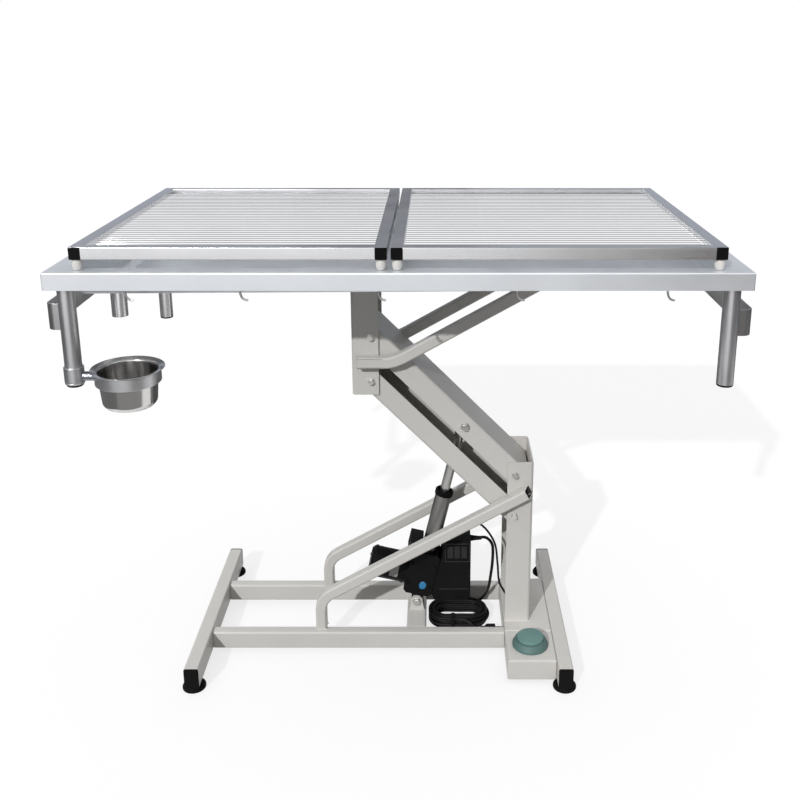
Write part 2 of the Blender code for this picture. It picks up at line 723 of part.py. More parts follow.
def underframe():
    """Two long bars beside the column and two cross bars under the basin, welded into one frame."""
    half = UNDERFRAME_BAR / 2
    inner = HALF_COLUMN + GAP
    top = UNDERFRAME_BOTTOM + UNDERFRAME_HEIGHT
    bars = []
    for side in (-1, 1):
        outline = rectangle(UNDERFRAME_LENGTH / 2, half, UNDERFRAME_BAR / 10, steps=1)
        y = side * (inner + half)
        rings = [level(outline, z, 0, y) for z in (UNDERFRAME_BOTTOM, top)]
        bars.append(solid("bar", rings, PAINT))
        outline = rectangle(half, UNDERFRAME_SPAN / 2, UNDERFRAME_BAR / 10, steps=1)
        x = side * (UNDERFRAME_LENGTH / 2 - UNDERFRAME_BAR)
        rings = [level(outline, UNDERFRAME_BOTTOM + GAP, x), level(outline, top - GAP, x)]
        bars.append(solid("bar", rings, PAINT))
    piece = combine(bars[0], bars[1:], "UNION")
    piece.name = "underframe"
    middle = (UNDERFRAME_BOTTOM + top) / 2
    for vertex in piece.data.vertices:
        if vertex.co.z > middle:
            vertex.co.z += basin_floor(vertex.co.x) - basin_floor(-UNDERFRAME_LENGTH / 2)
    return piece


# Base

def hollow_bar(name, outer, inner, place, ends):
    """Square or oblong tube, open at both ends."""
    low, high = ends
    rings = [place(outer, low), place(outer, high), place(inner, high), place(inner, low)]
    return solid(name, rings, PAINT, closed=True)


def beam(name, x):
    """Foot beam along Y."""
    z = FOOT_HEIGHT + BEAM_HEIGHT / 2
    half = BEAM_LENGTH / 2
    outer = rectangle(BEAM_WIDTH / 2, BEAM_HEIGHT / 2, BEAM_CORNER)
    inner = rectangle(BEAM_WIDTH / 2 - BEAM_WALL, BEAM_HEIGHT / 2 - BEAM_WALL, BEAM_CORNER / 2)
    return hollow_bar(name, outer, inner, lambda outline, y: facing(outline, y, x, z), (-half, half))


def beam_cap(name, x, side):
    """Black plug in a beam's end."""
    z = FOOT_HEIGHT + BEAM_HEIGHT / 2
    face = rectangle(BEAM_WIDTH / 2, BEAM_HEIGHT / 2, BEAM_CORNER)
    inset = BEAM_WALL + GAP
    stem = rectangle(BEAM_WIDTH / 2 - inset, BEAM_HEIGHT / 2 - inset, BEAM_CORNER / 2)
    seat = BEAM_LENGTH / 2 + GAP
    steps = ((face, seat + BEAM_CAP), (face, seat), (stem, seat), (stem, seat - BEAM_CAP_STEM))
    return solid(name, [facing(outline, side * y, x, z) for outline, y in steps], RUBBER)


def foot(name, x, y):
    """Round rubber foot under a beam."""
    shoulder = FOOT_RADIUS * 0.85
    profile = [(FOOT_RADIUS, 0), (FOOT_RADIUS, FOOT_HEIGHT * 0.6), (shoulder, FOOT_HEIGHT - GAP)]
    return solid(name, turned(profile, x, y, sides=16), RUBBER)


def rail(name, y):
    """Long rail between the left beam and the column base."""
    z = FOOT_HEIGHT + RAIL_HEIGHT / 2
    outer = rectangle(RAIL_WIDTH / 2, RAIL_HEIGHT / 2, BEAM_CORNER)
    inner = rectangle(RAIL_WIDTH / 2 - BEAM_WALL, RAIL_HEIGHT / 2 - BEAM_WALL, BEAM_CORNER / 2)
    ends = (LEFT_BEAM_X + BEAM_WIDTH / 2 + GAP, BOX_LEFT - GAP)
    return hollow_bar(name, outer, inner, lambda outline, x: endways(outline, x, y, z), ends)


def cover(name, front, back):
    """Sheet-metal box, open underneath."""
    half_x = BOX_WIDTH / 2
    half_y = (back - front) / 2
    x = BOX_LEFT + half_x
    y = (front + back) / 2
    steps = (
        (BOX_SHEET, BASE_TOP - BOX_SHEET),
        (BOX_SHEET, FOOT_HEIGHT),
        (0, FOOT_HEIGHT),
        (0, BASE_TOP - BOX_BEND),
        (BOX_BEND / 3, BASE_TOP - BOX_BEND / 3),
        (BOX_BEND, BASE_TOP),
    )
    rings = [level(rectangle(half_x - inset, half_y - inset, BOX_BEND), z, x, y) for inset, z in steps]
    return solid(name, rings, PAINT)


def boss(place, direction, into):
    """A cord's gland: a short round boss that starts a little inside its wall."""
    turn = direction.to_track_quat("Z", "Y").to_matrix().to_4x4()
    rings = turned([(GLAND_RADIUS, -into), (GLAND_RADIUS, GLAND_HEIGHT)], sides=16)
    piece = solid("boss", rings, RUBBER)
    piece.data.transform(Matrix.Translation(place) @ turn)
    return piece


def actuator_mount():
    """Cross member between the rails with the two welded ears of the actuator's foot."""
    half = RAIL_SPREAD / 2 - RAIL_WIDTH / 2 - GAP
    z = FOOT_HEIGHT + RAIL_HEIGHT / 2
    outline = rectangle(MOUNT_WIDTH / 2, RAIL_HEIGHT / 2, BEAM_CORNER)
    rings = [facing(outline, y, ACTUATOR_FOOT_X, z) for y in (-half, half)]
    piece = solid("actuator_mount", rings, PAINT)
    tools = []
    inner = LUG_WIDTH / 2 + GAP
    height = ACTUATOR_FOOT_HEIGHT
    arc = [math.radians(30 + 120 * i / 6) for i in range(7)]
    top = [(MOUNT_EAR_RADIUS * math.cos(a), height + MOUNT_EAR_RADIUS * math.sin(a)) for a in arc]
    foot_half = MOUNT_WIDTH / 2 - BEAM_CORNER
    ear = [(-foot_half, -MOUNT_SHEET), (foot_half, -MOUNT_SHEET)] + top
    for side in (-1, 1):
        rings = [facing(ear, side * y, ACTUATOR_FOOT_X, RAIL_TOP) for y in (inner, inner + MOUNT_SHEET)]
        tools.append(solid("ear", rings, PAINT))
    combine(piece, tools, "UNION")
    return combine(piece, [pin_hole(ACTUATOR_FOOT, BOLT_RADIUS + GAP, MOUNT_WIDTH)], "DIFFERENCE")


# Foot switch

def switch_flange():
    """Flared ring that guides the foot switch's cap."""
    bore = SWITCH_CAP_RADIUS + SWITCH_CAP_GAP
    mouth = bore + (SWITCH_FLANGE_RADIUS - bore) / 3
    profile = [
        (bore, 0),
        (SWITCH_FLANGE_RADIUS, 0),
        (SWITCH_FLANGE_RADIUS, SWITCH_FLANGE_HEIGHT / 4),
        (mouth, SWITCH_FLANGE_HEIGHT),
        (bore, SWITCH_FLANGE_HEIGHT),
    ]
    rings = turned(profile, SWITCH_X, SWITCH_Y, BASE_TOP + GAP, 24)
    return solid("switch_flange", rings, TEAL, closed=True)


def switch_cap():
    """Domed cap, pressed by foot, with its travel free beneath it."""
    bottom = BASE_TOP + SWITCH_TRAVEL + 2 * GAP
    dome = SWITCH_CAP_HEIGHT / 4
    profile = [(SWITCH_CAP_RADIUS, 0), (SWITCH_CAP_RADIUS, SWITCH_CAP_HEIGHT - dome)]
    for share in (0.35, 0.7, 0.95):
        angle = share * math.pi / 2
        rise = math.sin(angle)
        radius = SWITCH_CAP_RADIUS * math.cos(angle) ** 0.5
        profile.append((radius, SWITCH_CAP_HEIGHT - dome * (1 - rise)))
    return solid("switch_cap", turned(profile, SWITCH_X, SWITCH_Y, bottom, 24), TEAL)


# Actuator

def along_actuator(piece):
    """Stand a piece that was made upright at the origin on the actuator's axis."""
    turn = Matrix.Rotation(ACTUATOR_LEAN, 4, "Y")
    piece.data.transform(Matrix.Translation(ACTUATOR_FOOT) @ turn)
    return piece


def actuator_housing():
    """Gearbox with the motor on its left and the lower lug beneath it."""
    chamfer = 0.007
    left, right = -HOUSING_LEFT, HOUSING_RIGHT
    step = -TUBE_RADIUS - 2 * GAP
    outline = [
        (left + chamfer, HOUSING_BOTTOM), (right - chamfer, HOUSING_BOTTOM),
        (right, HOUSING_BOTTOM + chamfer), (right, HOUSING_TOP - chamfer),
        (right - chamfer, HOUSING_TOP), (step, HOUSING_TOP),
        (step, HOUSING_SHOULDER), (-HOUSING_SHOULDER_LEFT, HOUSING_SHOULDER),
        (-HOUSING_SHOULDER_LEFT, HOUSING_TOP - 2 * chamfer), (left, HOUSING_TOP - 3 * chamfer),
        (left, HOUSING_BOTTOM + chamfer),
    ]
    half = HOUSING_DEPTH / 2
    piece = solid("actuator_housing", [facing(outline, y) for y in (-half, half)], PLASTIC)
    end = left - MOTOR_LENGTH
    dome = MOTOR_RADIUS / 6
    steps = ((left + chamfer, MOTOR_RADIUS), (end + dome, MOTOR_RADIUS), (end, MOTOR_RADIUS - dome))
    motor = solid("motor", [endways(circle(r), x, 0, MOTOR_HEIGHT) for x, r in steps], PLASTIC)
    eye = facing(circle(LUG_RADIUS), 0)
    neck = rectangle(LUG_RADIUS * 0.8, HOUSING_BOTTOM / 2 + chamfer / 4, chamfer / 8, steps=1)
    reach = LUG_WIDTH / 2
    lug = solid("lug", [[p + Vector((0, y, 0)) for p in eye] for y in (-reach, reach)], PLASTIC)
    neck_height = HOUSING_BOTTOM / 2 + chamfer / 2
    rings = [facing(neck, y, 0, neck_height) for y in (-reach + GAP, reach - GAP)]
    shank = solid("neck", rings, PLASTIC)
    combine(piece, [motor, shank, lug], "UNION")
    combine(piece, [pin_hole(Vector(), BOLT_RADIUS + GAP, HOUSING_DEPTH)], "DIFFERENCE")
    return along_actuator(piece)


def actuator_tube():
    """Outer tube with the black collar at its mouth."""
    seat = TUBE_TOP - COLLAR_HEIGHT
    profile = [
        (TUBE_BORE, HOUSING_TOP + GAP),
        (TUBE_RADIUS, HOUSING_TOP + GAP),
        (TUBE_RADIUS, seat),
        (COLLAR_RADIUS, seat),
        (COLLAR_RADIUS, TUBE_TOP - COLLAR_HEIGHT / 6),
        (COLLAR_RADIUS - COLLAR_HEIGHT / 6, TUBE_TOP),
        (TUBE_BORE, TUBE_TOP),
    ]
    piece = solid("actuator_tube", turned(profile), ALUMINIUM, closed=True)
    second_surface(piece, PLASTIC, lambda face: face.z > seat - GAP and face.xy.length > TUBE_BORE - GAP)
    return along_actuator(piece)


def actuator_rod():
    """Push rod with the eye for its pin in the upper arm."""
    piece = solid("actuator_rod", turned([(ROD_RADIUS, ROD_TIP), (ROD_RADIUS, ACTUATOR_SPAN)]), ROD)
    place = Vector((0, 0, ACTUATOR_SPAN))
    reach = ROD_EYE_WIDTH / 2
    rings = [facing(circle(ROD_EYE_RADIUS), y, 0, ACTUATOR_SPAN) for y in (-reach, reach)]
    combine(piece, [solid("eye", rings, ROD)], "UNION")
    combine(piece, [pin_hole(place, BOLT_RADIUS + GAP, COLUMN_WIDTH)], "DIFFERENCE")
    return along_actuator(piece)


def control_box():
    """Control housing beside the gearbox, shaped to its slanting side."""
    turn = Matrix.Rotation(ACTUATOR_LEAN, 4, "Y")
    chamfer = 0.008
    side = HOUSING_RIGHT + GAP
    low = ACTUATOR_FOOT + turn @ Vector((side, 0, HOUSING_BOTTOM + chamfer))
    high = ACTUATOR_FOOT + turn @ Vector((side, 0, HOUSING_TOP - chamfer))
    outline = [
        (low.x, low.z), (high.x, high.z),
        (CONTROL_LEFT, high.z + chamfer), (CONTROL_LEFT, CONTROL_TOP),
        (CONTROL_RIGHT, CONTROL_TOP), (CONTROL_RIGHT, CONTROL_BOTTOM + chamfer),
        (CONTROL_RIGHT - chamfer, CONTROL_BOTTOM), (low.x + chamfer, CONTROL_BOTTOM),
    ]
    half = CONTROL_DEPTH / 2
    inset = chamfer / 4
    middle = Vector(((low.x + CONTROL_RIGHT) / 2, (CONTROL_TOP + CONTROL_BOTTOM) / 2))
    small = [Vector(p) + (middle - Vector(p)).normalized() * inset for p in outline]
    steps = ((small, -half), (outline, -half + inset), (outline, half - inset), (small, half))
    piece = solid("control_box", [facing(shape, y) for shape, y in steps], PLASTIC)
    glands = [
        boss(SWITCH_LEAD_START, Vector((0, 0, 1)), GLAND_HEIGHT / 2),
        boss(MAINS_START, Vector((1, 0, 0)), GLAND_HEIGHT / 2),
    ]
    return combine(piece, glands, "UNION")


# Cords

def smooth_route(places, spacing):
    """Points at an even spacing on a smooth curve through the chosen places, with straight ends."""
    fine = []
    for before, start, end, after in zip(places, places[1:], places[2:], places[3:]):
        for i in range(40):
            t = i / 40
            fine.append(0.5 * (
                2 * start + (end - before) * t
                + (2 * before - 5 * start + 4 * end - after) * t ** 2
                + (3 * start - before - 3 * end + after) * t ** 3
            ))
    fine.append(places[-2])
    length = sum((b - a).length for a, b in zip(fine, fine[1:]))
    count = round(length / spacing)
    points = [places[0], fine[0]]
    travelled = 0.0
    for a, b in zip(fine, fine[1:]):
        travelled += (b - a).length
        if travelled * count >= length * (len(points) - 1) and len(points) <= count:
            points.append(b)
    return points + places[-2:]


def cord(name, points, radius, resolution):
    """A round cord along points."""
    curve = bpy.data.curves.new(name, "CURVE")
    curve.dimensions = "3D"
    curve.bevel_depth = radius
    curve.bevel_resolution = resolution
    curve.use_fill_caps = True
    spline = curve.splines.new("POLY")
    spline.points.add(len(points) - 1)
    for target, point in zip(spline.points, points):
        target.co = (*point, 1.0)
    curve.materials.append(PLASTIC)
    made = bpy.data.objects.new(name, curve)
    bpy.context.collection.objects.link(made)
    return made


def hank_points():
    """Oval loops on the floor, in and out by turns, that climb a layer wherever the spiral reverses."""
    per_turn = 24
    half_turn = per_turn // 2
    run = HANK_TURNS * per_turn
    leg = run + half_turn
    outer = HANK_WIDTH / 2
    straight = (HANK_LENGTH - HANK_WIDTH) / 2
    low = MAINS_RADIUS + GAP
    points = [Vector((HANK_X + 2 * MAINS_RADIUS, HANK_Y + outer, low))]
    for i in range(HANK_LAYERS * leg - half_turn + 1):
        layer, step = divmod(i, leg)
        climbed = layer + max(step - run, 0) / half_turn
        inward = min(step, run) if layer % 2 == 0 else run - min(step, run)
        radius = outer - HANK_STEP * inward / per_turn
        side = 1 if i // half_turn % 2 == 0 else -1
        place = i % half_turn
        angle = math.pi / 2 + math.pi * (place - 1) / (half_turn - 2)
        u = radius * math.cos(angle) - straight if place else 0.0
        v = radius * math.sin(angle) if place else radius
        points.append(Vector((HANK_X + side * u, HANK_Y + side * v, low + HANK_LAYER * climbed)))
    last = points[-1]
    points.append(last + Vector((0.015, -0.004, 0)))
    points.append(last + Vector((0.028, -0.0105, -0.005)))
    plug = PLUG_START - Vector((GAP, 0, 0))
    return points + [plug - Vector((2 * MAINS_RADIUS, 0, 0)), plug]


def least_gap(points, radius):
    """Smallest gap between turns of a cord, measured between its sampled segments' points."""
    fine = []
    for a, b in zip(points, points[1:]):
        fine += [a.lerp(b, i / 4) for i in range(4)]
    apart = 12
    nearest = min(
        (fine[i] - fine[j]).length
        for i in range(len(fine)) for j in range(i + apart * 4, len(fine))
    )
    return nearest - 2 * radius


def mains_plug():
    """Round plug with two pins, lying beside the hank."""
    grip = PLUG_RADIUS * 0.55
    steps = (
        (0, grip),
        (PLUG_LENGTH * 0.3, grip * 1.1),
        (PLUG_LENGTH * 0.45, PLUG_RADIUS),
        (PLUG_LENGTH, PLUG_RADIUS),
    )
    rings = [endways(circle(r), PLUG_START.x + u, PLUG_START.y, PLUG_START.z) for u, r in steps]
    piece = solid("mains_plug", rings, PLASTIC)
    pins = []
    for side in (-1, 1):
        y = PLUG_START.y + side * PLUG_PIN_SPREAD / 2
        span = (PLUG_LENGTH - PLUG_PIN_RADIUS, PLUG_LENGTH + PLUG_PIN_LENGTH)
        section = circle(PLUG_PIN_RADIUS, 12)
        rings = [endways(section, PLUG_START.x + u, y, PLUG_START.z) for u in span]
        pins.append(solid("pin", rings, ROD))
    return combine(piece, pins, "UNION")


# Places that need the functions above
UPPER_COLUMN_WEB = UPPER_PIVOT_A.x + COLUMN_EDGE - COLUMN_FLANGE
LOWER_COLUMN_WEB = PIVOT_X - COLUMN_EDGE + COLUMN_FLANGE
BASIN_UNDERSIDE = basin_floor(-UNDERFRAME_LENGTH / 2) - TRAY_SHEET
UNDERFRAME_BOTTOM = BASIN_UNDERSIDE - GAP - UNDERFRAME_HEIGHT
SWITCH_LEAD_START = Vector((CONTROL_LEFT + 0.018, 0, CONTROL_TOP))
MAINS_START = Vector((CONTROL_RIGHT, 0, CONTROL_TOP - 0.009))
COLUMN_GLAND = Vector((PIVOT_X, 0, BASE_TOP))
PLUG_START = Vector((HANK_X + 0.050, HANK_Y - HANK_WIDTH / 2 - 0.015, PLUG_RADIUS + GAP))

for old in list(bpy.data.objects):
    bpy.data.objects.remove(old, do_unlink=True)

STEEL = material("stainless steel", (0.62, 0.63, 0.64), 0.28, 1.0)
PAINT = material("white powder coat", (0.80, 0.79, 0.75), 0.45)
BOLT = material("zinc-plated steel", (0.55, 0.55, 0.53), 0.35, 1.0)
ROD = material("bright steel", (0.70, 0.70, 0.70), 0.2, 1.0)
ALUMINIUM = material("anodised aluminium", (0.60, 0.60, 0.60), 0.4, 1.0)
PLASTIC = material("black plastic", (0.02, 0.02, 0.022), 0.5)
RUBBER = material("black rubber", (0.012, 0.012, 0.012), 0.7)
BUMPER = material("natural rubber", (0.50, 0.42, 0.34), 0.55)
TEAL = material("green rubber", (0.17, 0.36, 0.34), 0.5)

# Joint axes
lift_axis = pivot("lift_axis", LOWER_PIVOT_A)
lower_arm_axis = pivot("lower_arm_axis", LOWER_PIVOT_B)
table_axis = pivot("table_axis", UPPER_PIVOT_A, lift_axis)
left_grille_lift = pivot("left_grille_lift", (-GRILLE_LENGTH / 4, 0, GRILLE_BOTTOM), table_axis)
right_grille_lift = pivot("right_grille_lift", (GRILLE_LENGTH / 4, 0, GRILLE_BOTTOM), table_axis)
holder_axis = pivot("holder_axis", (-POST_X, -POST_Y, HOLDER_HEIGHT), table_axis)
bowl_lift = pivot("bowl_lift", (BOWL_X, -POST_Y, HOLDER_HEIGHT), holder_axis)
actuator_axis = pivot("actuator_axis", ACTUATOR_FOOT)
rod_axis = pivot("rod_axis", ROD_PIN, lift_axis)
switch_axis = pivot("switch_axis", (SWITCH_X, SWITCH_Y, BASE_TOP))

# Base
for side_name, beam_x in (("left", LEFT_BEAM_X), ("right", RIGHT_BEAM_X)):
    beam(f"beam_{side_name}", beam_x)
    for end_name, side in (("front", -1), ("rear", 1)):
        beam_cap(f"beam_cap_{side_name}_{end_name}", beam_x, side)
        foot(f"foot_{side_name}_{end_name}", beam_x, side * (BEAM_LENGTH / 2 - FOOT_FROM_END))
for end_name, side in (("front", -1), ("rear", 1)):
    rail(f"rail_{end_name}", side * RAIL_SPREAD / 2)
    lower_brace(f"lower_brace_{end_name}", side * BRACE_Y)
base_box = cover("column_base", -COLUMN_BASE_DEPTH / 2, COLUMN_BASE_DEPTH / 2)
combine(base_box, [boss(COLUMN_GLAND, Vector((0, 0, 1)), BOX_SHEET / 2)], "UNION")
cover("switch_box", SWITCH_BOX_FRONT, -COLUMN_BASE_DEPTH / 2 - GAP)
actuator_mount()
column(
    "lower_column",
    (LOWER_PIVOT_A, LOWER_PIVOT_B),
    LOWER_COLUMN_WEB,
    BASE_TOP + GAP,
    PIVOT_HEIGHT + COLUMN_END,
)
pivot_bolt("bolt_lower_a", LOWER_PIVOT_A, HALF_COLUMN, ARM_BOLT_SCALE)
pivot_bolt("bolt_lower_b", LOWER_PIVOT_B, HALF_COLUMN, ARM_BOLT_SCALE)
pivot_bolt("bolt_actuator_foot", ACTUATOR_FOOT, LUG_WIDTH / 2 + GAP + MOUNT_SHEET)
switch_flange()
carry(switch_cap(), switch_axis)

# Lift
TUBE_SLOT = (ACTUATOR_REACH + 0.012, 0.100, 0.056)
carry(arm("upper_arm", LOWER_PIVOT_A, 1, (0, ACTUATOR_REACH, ARM_LENGTH), None), lift_axis)
carry(pivot_bolt("bolt_actuator_rod", ROD_PIN, HALF_ARM), lift_axis)
carry(arm("lower_arm", LOWER_PIVOT_B, -1, (0, ARM_LENGTH), TUBE_SLOT), lower_arm_axis)
carry(actuator_housing(), actuator_axis)
carry(actuator_tube(), actuator_axis)
carry(control_box(), actuator_axis)
carry(actuator_rod(), rod_axis)

# Table
column_top = basin_floor(UPPER_COLUMN_WEB) - TRAY_SHEET - GAP
upper_column = column(
    "upper_column",
    (UPPER_PIVOT_A, UPPER_PIVOT_B),
    UPPER_COLUMN_WEB,
    UPPER_PIVOT_B.z - COLUMN_END,
    column_top,
)
posts = [
    post("post_front_left", -POST_X, -POST_Y, POST_LENGTH, True),
    post("post_front_right", POST_X, -POST_Y, POST_LENGTH, False),
    post("post_rear_left", -POST_X, POST_Y, LONG_POST_LENGTH, False),
    post("post_rear_right", POST_X, POST_Y, SHORT_POST_LENGTH, False),
]
table_pieces = posts + [
    tray(),
    drain_pipe(),
    underframe(),
    upper_column,
    upper_brace("upper_brace_front", -BRACE_Y),
    upper_brace("upper_brace_rear", BRACE_Y),
    handle("handle_left", -1, HANDLE_LEFT_DROP),
    handle("handle_right", 1, HANDLE_RIGHT_DROP),
    pivot_bolt("bolt_upper_a", UPPER_PIVOT_A, HALF_COLUMN, ARM_BOLT_SCALE),
    pivot_bolt("bolt_upper_b", UPPER_PIVOT_B, HALF_COLUMN, ARM_BOLT_SCALE),
]
for piece in table_pieces:
    carry(piece, table_axis)
split_left = GRILLE_SPLIT - GRILLE_SPLIT_GAP / 2
split_right = GRILLE_SPLIT + GRILLE_SPLIT_GAP / 2
panels = (
    ("left", -GRILLE_LENGTH / 2, split_left, left_grille_lift),
    ("right", split_right, GRILLE_LENGTH / 2, right_grille_lift),
)
for side_name, left, right, lift in panels:
    carry(grille(f"grille_{side_name}", left, right), lift)
    for end_name, side in (("front", -1), ("rear", 1)):
        y = side * (GRILLE_DEPTH - GRILLE_BAR) / 2
        for edge_name, x in (("outer", left), ("inner", right)):
            outer = x + GRILLE_BAR / 2 if x == left else x - GRILLE_BAR / 2
            carry(bumper(f"bumper_{side_name}_{edge_name}_{end_name}", outer, y), lift)
carry(bowl_holder(), holder_axis)
carry(bowl(), bowl_lift)

# Cords
up = Vector((0, 0, GLAND_HEIGHT + GAP))
out = Vector((GLAND_HEIGHT + GAP, 0, 0))
switch_route = [
    SWITCH_LEAD_START + up,
    SWITCH_LEAD_START + up + Vector((0, 0, 0.007)),
    Vector((0.118, 0.000, 0.274)),
    Vector((0.146, -0.004, 0.284)),
    Vector((0.180, -0.006, 0.268)),
    Vector((0.207, -0.006, 0.225)),
    Vector((0.215, -0.004, 0.170)),
    Vector((0.220, -0.002, 0.120)),
    Vector((0.236, 0.000, 0.086)),
    COLUMN_GLAND + up + Vector((0, 0, 0.007)),
    COLUMN_GLAND + up,
]
cord("switch_lead", smooth_route(switch_route, 6 * SWITCH_LEAD_RADIUS), SWITCH_LEAD_RADIUS, 2)
hank = hank_points()
print("mains hank: least gap between turns", round(1000 * least_gap(hank, MAINS_RADIUS), 2), "mm")
mains_route = [
    MAINS_START + out,
    MAINS_START + out + Vector((0.010, 0, 0)),
    Vector((0.185, 0.001, 0.236)),
    Vector((0.199, 0.004, 0.222)),
    Vector((0.204, 0.008, 0.202)),
    Vector((0.204, 0.016, 0.160)),
    Vector((0.201, 0.032, 0.112)),
    Vector((0.198, 0.052, 0.070)),
    Vector((0.192, 0.070, 0.040)),
    Vector((0.178, HANK_Y + HANK_WIDTH / 2 + 0.009, 0.017)),
    Vector((0.158, HANK_Y + HANK_WIDTH / 2 + 0.005, MAINS_RADIUS + 0.002)),
    hank[0] + Vector((0.008, 0, 0)),
    hank[0] + Vector((GAP, 0, 0)),
]
cord("mains_lead", smooth_route(mains_route, 5 * MAINS_RADIUS), MAINS_RADIUS, 2)
cord("mains_hank", hank, MAINS_RADIUS, 1)
mains_plug()

# Finish
for made in bpy.data.meshes:
    made.shade_smooth()
    made.set_sharp_from_angle(angle=math.radians(35))
for made in bpy.data.objects:
    if made.parent is None:
        made.location.y += ORIGIN_SHIFT
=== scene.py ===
import json
from math import atan2, copysign, cos, pi, radians, sin

import bmesh
import bpy
from mathutils import Matrix, Vector
from mathutils.bvhtree import BVHTree


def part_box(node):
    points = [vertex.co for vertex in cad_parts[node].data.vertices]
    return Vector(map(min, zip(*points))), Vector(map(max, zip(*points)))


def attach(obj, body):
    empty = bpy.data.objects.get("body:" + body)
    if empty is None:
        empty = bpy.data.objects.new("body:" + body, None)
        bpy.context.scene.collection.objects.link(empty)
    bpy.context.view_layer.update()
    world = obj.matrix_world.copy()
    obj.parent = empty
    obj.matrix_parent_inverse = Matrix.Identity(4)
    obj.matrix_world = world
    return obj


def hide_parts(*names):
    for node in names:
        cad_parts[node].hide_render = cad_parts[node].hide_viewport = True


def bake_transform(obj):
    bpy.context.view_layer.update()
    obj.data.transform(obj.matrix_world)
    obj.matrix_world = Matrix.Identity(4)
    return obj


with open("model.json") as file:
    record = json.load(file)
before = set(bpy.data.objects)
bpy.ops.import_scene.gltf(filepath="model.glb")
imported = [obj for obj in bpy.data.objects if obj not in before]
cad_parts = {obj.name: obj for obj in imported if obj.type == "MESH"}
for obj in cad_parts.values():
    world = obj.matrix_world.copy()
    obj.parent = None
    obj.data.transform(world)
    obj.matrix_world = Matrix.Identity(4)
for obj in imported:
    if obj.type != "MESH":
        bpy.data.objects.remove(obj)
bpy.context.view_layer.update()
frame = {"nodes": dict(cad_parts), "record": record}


# Rubber feet
# Four moulded black rubber discs under the foot beams, each held by a screw from below.
# The moulding leaves a step round the edge and a faint bloom on the surface.
MASK_LOW, MASK_HIGH = 0.3, 0.7


def add_node(tree, kind, values=None, **settings):
    """A node with its settings and the values of its inputs."""
    made = tree.nodes.new(kind)
    for name, value in settings.items():
        setattr(made, name, value)
    for label, value in (values or {}).items():
        made.inputs[label].default_value = value
    return made


def join(tree, *rows):
    """Links between nodes, each row a source, its output, a target and its input."""
    for source, output, target, entry in rows:
        tree.links.new(source.outputs[output], target.inputs[entry])


def node_group(name, inputs, outputs):
    """An empty shader group with float or vector inputs and float outputs."""
    group = bpy.data.node_groups.new(name, "ShaderNodeTree")
    for label, value in inputs.items():
        kind = "NodeSocketVector" if isinstance(value, tuple) else "NodeSocketFloat"
        group.interface.new_socket(label, in_out="INPUT", socket_type=kind).default_value = value
    for label in outputs:
        group.interface.new_socket(label, in_out="OUTPUT", socket_type="NodeSocketFloat")
    return group, group.nodes.new("NodeGroupInput"), group.nodes.new("NodeGroupOutput")


def mottle_group():
    """Fine grain and broad cloudiness, for mouldings and paint."""
    inputs = {"Vector": (0.0, 0.0, 0.0), "Grain Scale": 900.0, "Cloud Scale": 6.0}
    group, given, result = node_group("mottle", inputs, ("Grain", "Cloud"))
    for label, detail in (("Grain", 2.0), ("Cloud", 4.0)):
        noise = add_node(group, "ShaderNodeTexNoise", {"Detail": detail})
        join(
            group, (given, "Vector", noise, "Vector"), (given, f"{label} Scale", noise, "Scale"),
            (noise, "Fac", result, label),
        )
    return group


def spread(tree, mask, low, high):
    """The middle of a noise mask stretched between two values."""
    ends = {"From Min": MASK_LOW, "From Max": MASK_HIGH, "To Min": low, "To Max": high}
    stretched = add_node(tree, "ShaderNodeMapRange", ends)
    tree.links.new(mask, stretched.inputs["Value"])
    return stretched.outputs["Result"]


def new_material(name, shading):
    """A material with values set on its shader, and its tree and shader."""
    made = bpy.data.materials.new(name)
    made.use_nodes = True
    shader = made.node_tree.nodes["Principled BSDF"]
    for label, value in shading.items():
        shader.inputs[label].default_value = value
    return made, made.node_tree, shader


def new_finish(name, group, values, shading):
    """A material with a pattern group on its Object coordinates, and its tree, shader and pattern."""
    made, tree, shader = new_material(name, shading)
    pattern = add_node(tree, "ShaderNodeGroup", values, node_tree=group)
    join(tree, (tree.nodes.new("ShaderNodeTexCoord"), "Object", pattern, "Vector"))
    return made, tree, shader, pattern


def dress(tree, shader, masks, colours, rough, relief):
    """Drive a shader's colour, roughness and relief from three masks."""
    tone, dullness, height = masks
    dark, light = colours
    strength, depth = relief
    mix = add_node(tree, "ShaderNodeMix", {6: (*dark, 1), 7: (*light, 1)}, data_type="RGBA")
    bump = add_node(tree, "ShaderNodeBump", {"Strength": strength, "Distance": depth})
    tree.links.new(spread(tree, tone, 0.0, 1.0), mix.inputs["Factor"])
    tree.links.new(spread(tree, dullness, *rough), shader.inputs["Roughness"])
    tree.links.new(height, bump.inputs["Height"])
    join(tree, (mix, 2, shader, "Base Color"), (bump, "Normal", shader, "Normal"))


mottle = mottle_group()


def moulded(name, dark, light, rough, grain_scale, grain_depth, cloud_scale=8.0, strength=0.25, gloss=0.5):
    """Rubber, plastic or paint: clouded colour, grained roughness and a fine relief."""
    scales = {"Grain Scale": grain_scale, "Cloud Scale": cloud_scale}
    shading = {"Metallic": 0.0, "Specular IOR Level": gloss}
    made, tree, shader, pattern = new_finish(name, mottle, scales, shading)
    cloud, grain = pattern.outputs["Cloud"], pattern.outputs["Grain"]
    dress(tree, shader, (cloud, grain, grain), (dark, light), rough, (strength, grain_depth))
    return made


def placed(name, data):
    """A new object in the scene."""
    made = bpy.data.objects.new(name, data)
    bpy.context.collection.objects.link(made)
    return made


def smooth(mesh, sharp):
    """Smooth shading that breaks at edges sharper than an angle in degrees."""
    mesh.shade_smooth()
    mesh.set_sharp_from_angle(angle=radians(sharp))


